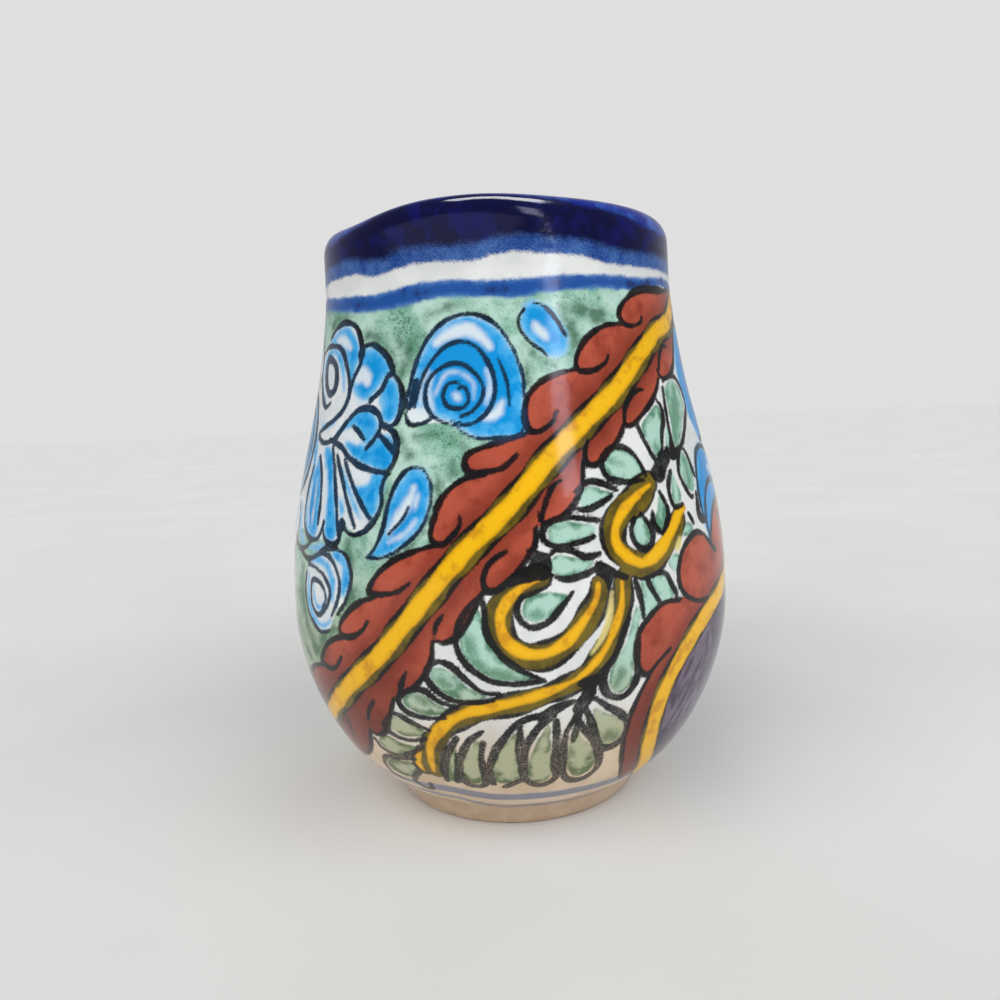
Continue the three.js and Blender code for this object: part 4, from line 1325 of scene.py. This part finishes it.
class Glaze:
    """The painted glaze: a cream ground with layers of paint, each from its signed distance."""

    def __init__(self, name, layers, gloss):
        self.n = Nodes(name)
        n = self.n
        self.sway = n.noise(0.32, 3)
        self.grain = n.noise(1.7, 2, 0.6)
        self.dust = n.noise(3.6, 2, 0.7)
        self.cloud = n.noise(0.085, 4, 0.6)
        self.patch = n.noise(0.21, 3, 0.6)
        self.raised = None
        high = n.mix(n.remap(self.cloud, -0.12, 0.12), linear(218, 220, 219), linear(230, 231, 229))
        # The darker, warmer cream low down is painted shade and a painted warm reflection under the belly
        low = n.mix(n.remap(self.cloud, -0.12, 0.12), linear(206, 181, 150), linear(222, 199, 172))
        cream = n.mix(n.remap(n.plus(n.layer("low_shade"), (self.patch, 14)), 9, -16), high, low)
        specks = n.remap(n.plus(self.dust, (self.grain, 0.7)), 0.27, 0.36)
        self.colour = n.mix(n.math("MULTIPLY", specks, 0.4), cream, linear(140, 125, 105))
        self.rough = n.plus(0.12, (self.patch, 0.14), (self.grain, 0.05))
        for layer in layers:
            getattr(self, layer)()
        self.finish(gloss)

    def mask(self, name, soft=0.3, wobble=0.9, grain=0.35, strength=1.0):
        """How much of a layer covers each point, with a hand-brushed edge."""
        n = self.n
        self.d = n.plus(n.layer(name), (self.sway, wobble), (self.grain, grain))
        return n.remap(self.d, soft, -soft, 0.0, strength)

    def cover(self, mask, colour):
        self.colour = self.n.mix(mask, self.colour, colour)

    def green(self):
        """A sponged ground, pale mint with darker patches, mossy strokes and fine dark specks."""
        n = self.n
        mask = self.mask("green", 0.7, 2.4, 0.8)
        dark = n.remap(n.plus(self.cloud, (self.patch, 0.6)), -0.12, 0.2)
        colour = n.mix(dark, linear(184, 216, 203), linear(122, 176, 152))
        low = n.remap(n.plus(n.height, (self.patch, 20)), 84, 46, 0.0, 0.85)
        colour = n.mix(low, colour, n.mix(dark, linear(150, 164, 132), linear(98, 116, 82)))
        mossy = n.plus(n.layer("moss"), (self.sway, 3.5), (self.patch, 6), (self.grain, 2.4))
        colour = n.mix(n.remap(mossy, 1.2, -2.2, 0.0, 0.85), colour, linear(48, 98, 68))
        specks = n.remap(n.plus(self.grain, (self.dust, 0.9), (self.cloud, 0.9)), 0.1, 0.3)
        colour = n.mix(n.math("MULTIPLY", specks, 0.7), colour, linear(44, 78, 52))
        self.cover(mask, colour)

    def purple(self):
        """A dusky ground under upright dark dashes."""
        n = self.n
        mask = self.mask("purple", 0.6, 2.0, 0.8, 0.99)
        light = n.remap(n.plus(self.cloud, (self.patch, 0.6)), -0.12, 0.16)
        colour = n.mix(light, linear(70, 56, 82), linear(112, 96, 118))
        self.cover(mask, colour)
        self.cover(self.mask("dash", 0.7, 0.8, 0.9, 0.8), linear(36, 26, 50))

    def blossom(self):
        """White left bare for the flowers."""
        n = self.n
        white = n.mix(n.remap(self.patch, -0.1, 0.1), linear(214, 222, 226), linear(230, 232, 232))
        self.cover(self.mask("blossom", 0.3), white)

    def leaf(self):
        """A thin green wash that pools darker at the edges, and paler and browner low down."""
        n = self.n
        mask = self.mask("leaf", 0.4, 1.2, 0.5, 0.98)
        tips = n.remap(n.height, 26, 19, 0.0, 1.3)
        pool = n.plus(self.d, (self.patch, 7.5), (self.cloud, 3), (self.dust, 0.8), (tips, 1.0))
        shade = n.plus(n.layer("moss"), (self.patch, 5), (self.grain, 2))
        pool = n.math("MAXIMUM", n.remap(pool, -1.6, 0.6), n.remap(shade, 1.3, -1.5, 0.0, 0.85))
        colour = n.mix(pool, linear(174, 211, 196), linear(80, 136, 106))
        low = n.remap(n.plus(n.height, (self.patch, 8)), 56, 30, 0.0, 0.9)
        colour = n.mix(low, colour, n.mix(pool, linear(180, 178, 142), linear(96, 110, 72)))
        self.cover(mask, colour)

    def blue(self):
        """Watery azure washes, deeper away from their edges, with white streaks that fade into them."""
        n = self.n
        mask = self.mask("blue", 0.8, 1.2, 0.4)
        depth = n.remap(n.plus(self.d, (self.patch, 3.6), (self.cloud, 2.5)), 0.4, -1.6)
        colour = n.mix(depth, linear(136, 194, 232), linear(66, 170, 230))
        deep = n.remap(n.plus(self.d, (self.patch, 9), (self.sway, 2.4)), -0.9, -3.3)
        colour = n.mix(deep, colour, linear(4, 146, 218))
        self.cover(mask, colour)
        self.cover(self.mask("pale", 0.95, 1.3, 0.5, 0.92), linear(222, 231, 236))

    def red(self):
        """Brick red, brushed unevenly."""
        n = self.n
        mask = self.mask("red", 0.3, 0.9, 0.4)
        uneven = n.remap(n.plus(self.patch, (self.cloud, 0.8), (self.dust, 0.16)), -0.16, 0.3)
        colour = n.mix(uneven, linear(182, 84, 62), linear(140, 54, 36))
        pool = n.remap(n.plus(n.layer("under"), (self.patch, 9)), 4.0, 0.4, 0.0, 0.6)
        colour = n.mix(pool, colour, linear(116, 42, 28))
        # Darker low down under the belly: painted shade
        low = n.remap(n.plus(n.height, (self.patch, 16)), 58, 32, 0.0, 0.72)
        colour = n.mix(low, colour, linear(98, 40, 29))
        self.cover(mask, colour)

    def grainy(self, name, solid=1.0):
        """The cover of dark strokes, with a fine grain at their edges and thin places."""
        n = self.n
        edge = n.plus(n.layer(name), (self.sway, 0.6), (self.grain, 0.45), (self.dust, 0.95))
        low = n.remap(n.plus(n.height, (self.patch, 30)), 44, 26, 0.0, 0.4)
        thin = n.remap(n.plus(self.patch, (self.dust, 1.1)), -0.3, 0.1, 0.93, solid)
        thin = n.math("SUBTRACT", thin, n.math("MULTIPLY", low, n.remap(self.dust, 0.04, -0.16)))
        return n.math("MULTIPLY", n.remap(edge, 0.2, -0.2), thin)

    def yellow(self):
        """Dark outlines, olive edges and the yellow over them."""
        n = self.n
        self.cover(self.grainy("under"), linear(24, 21, 20))
        mask = self.mask("olive", 0.3, 0.7, 0.7, 0.95)
        self.cover(mask, n.mix(n.remap(self.patch, -0.1, 0.12), linear(116, 98, 26), linear(86, 74, 22)))
        self.cover(self.mask("pale_yellow", 0.5, 0.6, 0.4, 0.9), linear(222, 206, 130))
        mask = self.mask("yellow", 0.35, 0.8, 0.35)
        shade = n.remap(n.plus(self.patch, (self.cloud, 0.6)), 0.0, 0.2)
        edge = n.remap(self.d, -1.1, 0.0, 0.0, 0.6)
        colour = n.mix(n.math("MAXIMUM", shade, edge), linear(243, 186, 18), linear(214, 150, 18))
        self.cover(mask, colour)

    def ink(self):
        """Dark outlines, a little blue where they lie on the flowers."""
        n = self.n
        mask = self.grainy("ink")
        on_blue = n.remap(n.plus(n.layer("blossom"), (self.patch, 3)), 1.6, -0.4)
        self.cover(mask, n.mix(on_blue, linear(18, 18, 21), linear(16, 46, 72)))
        self.raised = mask

    def line(self):
        """Blue lines round the neck and base, darker in their middle and softer at their edges."""
        n = self.n
        mask = self.mask("line", 0.55, 1.3, 0.7, 0.99)
        depth = n.remap(n.plus(self.d, (self.patch, 2.4), (self.dust, 1.6)), 0.3, -1.2)
        colour = n.mix(depth, linear(72, 120, 182), linear(26, 78, 156))
        dark = n.remap(n.plus(self.d, (self.patch, 7), (self.cloud, 6)), -1.2, -3)
        colour = n.mix(dark, colour, linear(18, 40, 96))
        faded = n.remap(n.height, 60, 40, 0.0, 0.85)
        self.cover(mask, n.mix(faded, colour, linear(136, 134, 140)))

    def rim(self):
        """Thick dark cobalt that ends in a softer, grainy blue fringe and is brighter on the lip."""
        n = self.n
        depth = n.plus(n.layer("rim"), (self.sway, 1.6), (self.grain, 0.6), (self.dust, 1.7))
        mask = n.remap(depth, 0.5, -0.5)
        fringe = n.mix(n.remap(n.plus(self.dust, (self.patch, 0.8)), -0.16, 0.16), linear(28, 64, 138),
                       linear(68, 108, 172))
        dark = n.mix(n.remap(n.plus(self.patch, (self.cloud, 0.8)), -0.1, 0.2), linear(5, 6, 54),
                     linear(9, 14, 88))
        colour = n.mix(n.remap(depth, -2.2, -4.6), fringe, dark)
        lip = n.plus(n.layer("lip"), (self.sway, 2), (self.patch, 3), (self.dust, 0.8))
        bright = n.mix(n.remap(self.patch, -0.1, 0.15), linear(14, 38, 142), linear(50, 96, 190))
        self.cover(mask, n.mix(n.remap(lip, 0.6, -1.2, 0.0, 0.9), colour, bright))

    def clay(self):
        """A darker, browner tone over the foot, painted shade near the floor, and bare, dry clay where it
        rests.
        """
        n = self.n
        # Painted shade: the whole foot a little darker and browner
        self.cover(n.remap(n.plus(self.patch, (self.cloud, 0.8)), -0.3, 0.2, 0.3, 0.6), linear(160, 128, 102))
        mask = self.mask("clay", 0.25, 0.8, 0.5)
        self.cover(mask, n.mix(n.remap(n.plus(self.grain, (self.cloud, 1)), -0.2, 0.2), linear(196, 160, 124),
                               linear(165, 124, 92)))
        self.rough = n.math("MAXIMUM", self.rough, n.math("MULTIPLY", mask, 0.85))

    def finish(self, gloss):
        """Gives the shader its colour, its roughness, its gloss and its small unevenness."""
        n = self.n
        rings = n.noise(0.22, 2, 0.5, stretch=(0.12, 0.12, 1))
        height = n.plus(0.0, (rings, 0.5), (self.patch, 0.22), (self.grain, 0.03))
        if self.raised:
            height = n.plus(height, (self.raised, 0.05))
        bump = n.add("ShaderNodeBump", [
            ("Strength", BUMP_STRENGTH), ("Distance", BUMP_DEPTH * MM), ("Height", height)])
        n.surface(("Base Color", self.colour), ("Roughness", self.rough), ("Specular IOR Level", gloss),
                  ("Normal", bump.outputs[0]))


def handle_line():
    """The middle line of the handle, as (distance from the axis, height) points an even step apart."""
    wall = outer_wall()
    rise = np.array([math.cos(math.radians(HANDLE_RISE)), math.sin(math.radians(HANDLE_RISE))])
    tuck = np.array([math.cos(math.radians(HANDLE_TUCK)), -math.sin(math.radians(HANDLE_TUCK))])
    upper = np.array([np.interp(UPPER_ROOT_HEIGHT, wall[:, 1], wall[:, 0]), UPPER_ROOT_HEIGHT])
    lower = np.array([np.interp(LOWER_ROOT_HEIGHT, wall[:, 1], wall[:, 0]), LOWER_ROOT_HEIGHT])
    outermost = np.array([BELLY_RADIUS + HANDLE_REACH, HANDLE_OUTER_HEIGHT])
    first = bezier([upper - rise * ROOT_DEPTH, upper + rise * UPPER_DRAW, outermost + (0, UPPER_DROP),
                    outermost], HANDLE_POINTS)
    second = bezier([outermost, outermost - (0, LOWER_DROP), lower + tuck * LOWER_DRAW,
                     lower - tuck * ROOT_DEPTH], HANDLE_POINTS)
    return even(np.vstack([first, second[1:]]), HANDLE_STEP)


def handle_piece():
    """The pulled strap handle with its luted roots, and how far each point lies from the root's fringe."""
    line = handle_line()
    tangent = np.gradient(line, axis=0)
    tangent /= np.linalg.norm(tangent, axis=1)[:, None]
    outward = np.stack([-tangent[:, 1], tangent[:, 0]], 1)
    run = np.arange(len(line)) * HANDLE_STEP
    length = run[-1]
    along = run / length
    from_end = np.minimum(run, length - run)
    to_root = np.maximum(from_end - ROOT_DEPTH, 0)
    luting = LUTING_WIDTH * np.clip(1 - from_end / (ROOT_DEPTH + LUTING_LENGTH), 0, 1) ** 2
    flare = ROOT_FLARE * np.exp(-to_root / ROOT_FLARE_LENGTH)
    half_width = np.interp(along, (0, 1), HANDLE_WIDTHS) / 2 + flare + luting
    half_depth = np.interp(along, (0, 1), HANDLE_THICKNESSES) / 2 + flare / 2 + luting
    angle = np.arange(HANDLE_SIDES) * 2 * math.pi / HANDLE_SIDES
    sine, cosine = np.sin(angle), np.cos(angle)
    across = half_width[:, None] * np.sign(cosine) * np.abs(cosine) ** HANDLE_SQUARING
    deep = half_depth[:, None] * sine - HANDLE_GROOVE * np.maximum(sine, 0) ** GROOVE_NARROWING
    distance = line[:, 0, None] + deep * outward[:, 0, None]
    height = line[:, 1, None] + deep * outward[:, 1, None]
    turn = math.radians(SPOUT_TURN)
    rings = np.stack([across * math.cos(turn) - distance * math.sin(turn),
                      across * math.sin(turn) + distance * math.cos(turn), height], -1)
    wall = outer_wall()
    deepest = np.interp(height, wall[:, 1], wall[:, 0]) - ROOT_SHARE_OF_WALL * WALL
    rings[..., :2] *= np.maximum(1, deepest / np.hypot(across, distance))[..., None]
    vertices = np.vstack([rings.reshape(-1, 3), rings[0].mean(0)[None], rings[-1].mean(0)[None]])
    count = len(line)
    faces = ring_faces(count, HANDLE_SIDES).tolist()
    faces += fan_faces(count * HANDLE_SIDES, 0, HANDLE_SIDES, False).tolist()
    faces += fan_faces(count * HANDLE_SIDES + 1, (count - 1) * HANDLE_SIDES, HANDLE_SIDES, True).tolist()
    thing = link("glazed_handle", vertices, faces)
    fringe = np.append(np.repeat(ROOT_FRINGE - to_root, HANDLE_SIDES), (FAR, FAR))
    write_layers(thing, {"rim": fringe, "lip": np.full(len(fringe), FAR), "low_shade": np.full(len(fringe), FAR)})
    turned = np.append(np.tile(np.arange(HANDLE_SIDES) / HANDLE_SIDES, count), (np.nan, np.nan))
    unwrap(thing, turned, np.append(np.repeat(along, HANDLE_SIDES), (0, 1)), 1)
    return thing


def build_pitcher():
    """All the pieces, each riding where the frame's piece is."""
    vessel = Vessel()
    paint(vessel)
    outside = list(range(vessel.foot_top, vessel.neck + 1))
    inside = list(range(vessel.inside_neck, vessel.floor + 1))
    colours = ["green", "moss", "purple", "dash", "blossom", "leaf", "blue", "pale", "red", "under", "olive",
               "pale_yellow", "yellow", "ink"]
    glazes = ["green", "purple", "line", "blossom", "leaf", "blue", "red", "yellow", "ink"]
    body = vessel_piece("painted_body", vessel, outside + inside, colours + ["line", "low_shade"],
                        (FOOT_HEIGHT, FLOOR_TOP), inside_share=0.1, halves=2)
    collar = vessel_piece("glazed_collar", vessel, range(vessel.neck, vessel.inside_neck + 1),
                          ["rim", "lip", "line", "low_shade"])
    foot = vessel_piece("glazed_foot", vessel, range(vessel.foot_top + 1),
                        ["line", "clay", "low_shade"], (0, FOOT_HEIGHT))
    handle = handle_piece()
    handle_nodes = ["handle", "upper_handle_luting", "lower_handle_luting"]
    for thing, glaze, layers, gloss, slot, nodes in (
            (body, "painted_glaze", glazes, BODY_GLOSS, "painted_glaze", ["body"]),
            (collar, "rim_glaze", ["line", "rim"], RIM_GLOSS, "cobalt_glaze", ["collar_with_spout"]),
            (foot, "foot_glaze", ["line", "clay"], FOOT_GLOSS, "bare_clay", ["foot"]),
            (handle, "handle_glaze", ["rim"], RIM_GLOSS, "cobalt_glaze", handle_nodes)):
        thing.data.materials.append(Glaze(glaze, layers, gloss).n.material)
        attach(thing, "root")
        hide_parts(*nodes)


def build_stage():
    """A plain pale floor."""
    corners = [(x * FLOOR_REACH, y * FLOOR_REACH, 0) for x, y in ((-1, -1), (1, -1), (1, 1), (-1, 1))]
    floor = link("floor", corners, [[0, 1, 2, 3]])
    n = Nodes("floor_paper")
    soft = n.mix(n.remap(n.noise(0.01, 3), -0.2, 0.2), linear(229, 229, 227), linear(233, 233, 231))
    n.surface(("Base Color", soft), ("Roughness", FLOOR_ROUGHNESS), ("Specular IOR Level", FLOOR_GLOSS))
    floor.data.materials.append(n.material)


def build_world():
    """A studio that looks pale all round, and lights the pitcher less from the front than from behind."""
    world = bpy.data.worlds.new("studio")
    bpy.context.scene.world = world
    world.use_nodes = True
    tree = world.node_tree
    direction = add_node(tree, "ShaderNodeTexCoord").outputs["Generated"]
    backwards = add_node(tree, "ShaderNodeSeparateXYZ", [(0, direction)]).outputs[1]
    rays = add_node(tree, "ShaderNodeLightPath").outputs
    back = add_node(tree, "ShaderNodeMapRange", [
        ("Value", rays["Is Glossy Ray"]), ("To Min", WORLD_BACK), ("To Max", WORLD_MIRRORED)]).outputs[0]
    light = add_node(tree, "ShaderNodeMapRange", enumerate((backwards, *WORLD_FADE, WORLD_FRONT, back)),
                     interpolation_type="SMOOTHSTEP").outputs[0]
    seen = add_node(tree, "ShaderNodeMath", [(0, rays["Is Camera Ray"]), (1, WORLD_BACK)],
                    operation="MULTIPLY").outputs[0]
    strength = add_node(tree, "ShaderNodeMath", [(0, light), (1, seen)], operation="MAXIMUM").outputs[0]
    join_inputs(tree, tree.nodes["Background"], [("Color", (1, 1, 1, 1)), ("Strength", strength)])


def hang(name, lamp, place, target):
    """Puts a lamp at a place in millimetres, aimed at a point."""
    thing = bpy.data.objects.new(name, lamp)
    bpy.context.scene.collection.objects.link(thing)
    thing.location = Vector(place) * MM
    thing.rotation_euler = (Vector(target) - Vector(place)).to_track_quat("-Z", "Y").to_euler()
    return thing


def sky(name, way, power, colour=(1, 1, 1)):
    """Broad, even light from one side, which the glaze doesn't mirror."""
    lamp = bpy.data.lights.new(name, "SUN")
    lamp.angle = math.radians(SKY_SPREAD)
    lamp.energy = power
    lamp.color = colour
    thing = hang(name, lamp, SKY_DISTANCE * Vector(way), (0, 0, 0))
    thing.visible_glossy = False


def softbox(name, place, target, size, power, colour=(1, 1, 1)):
    """A soft rectangular lamp that the glaze mirrors, with its size in millimetres."""
    lamp = bpy.data.lights.new(name, "AREA")
    lamp.shape = "RECTANGLE"
    lamp.size, lamp.size_y = size[0] * MM, size[1] * MM
    lamp.energy = power
    lamp.color = colour
    thing = hang(name, lamp, place, target)
    thing.visible_diffuse = False


def build_camera():
    """The camera at the photograph's place, tilt and roll."""
    pitch, roll = math.radians(CAMERA_PITCH), math.radians(CAMERA_ROLL)
    level, upright = Vector((1, 0, 0)), Vector((0, math.sin(pitch), math.cos(pitch)))
    right = math.cos(roll) * level + math.sin(roll) * upright
    up = -math.sin(roll) * level + math.cos(roll) * upright
    back = right.cross(up)
    data = bpy.data.cameras.new("camera")
    data.sensor_width = SENSOR
    data.lens = CAMERA_LENS
    data.clip_start = CLIP_START
    camera = bpy.data.objects.new("camera", data)
    bpy.context.scene.collection.objects.link(camera)
    turned = Matrix((right, up, back)).transposed().to_4x4()
    camera.matrix_world = Matrix.Translation(Vector(CAMERA_PLACE) * MM) @ turned
    bpy.context.scene.camera = camera


build_pitcher()
build_stage()
build_world()
sky("key", (-0.6, -0.75, 0.8), 1.6)
sky("fill", (0.8, -0.6, 0.65), 1.5, (0.95, 0.98, 1))
softbox("window", (205, -330, 250), (6, -50, 92), (60, 120), 0.15, (0.8, 0.82, 1))
softbox("overhead", (50, -260, 720), (0, -40, 151), (640, 230), 9.5)
build_camera()
bpy.context.scene.view_settings.view_transform = "Standard"
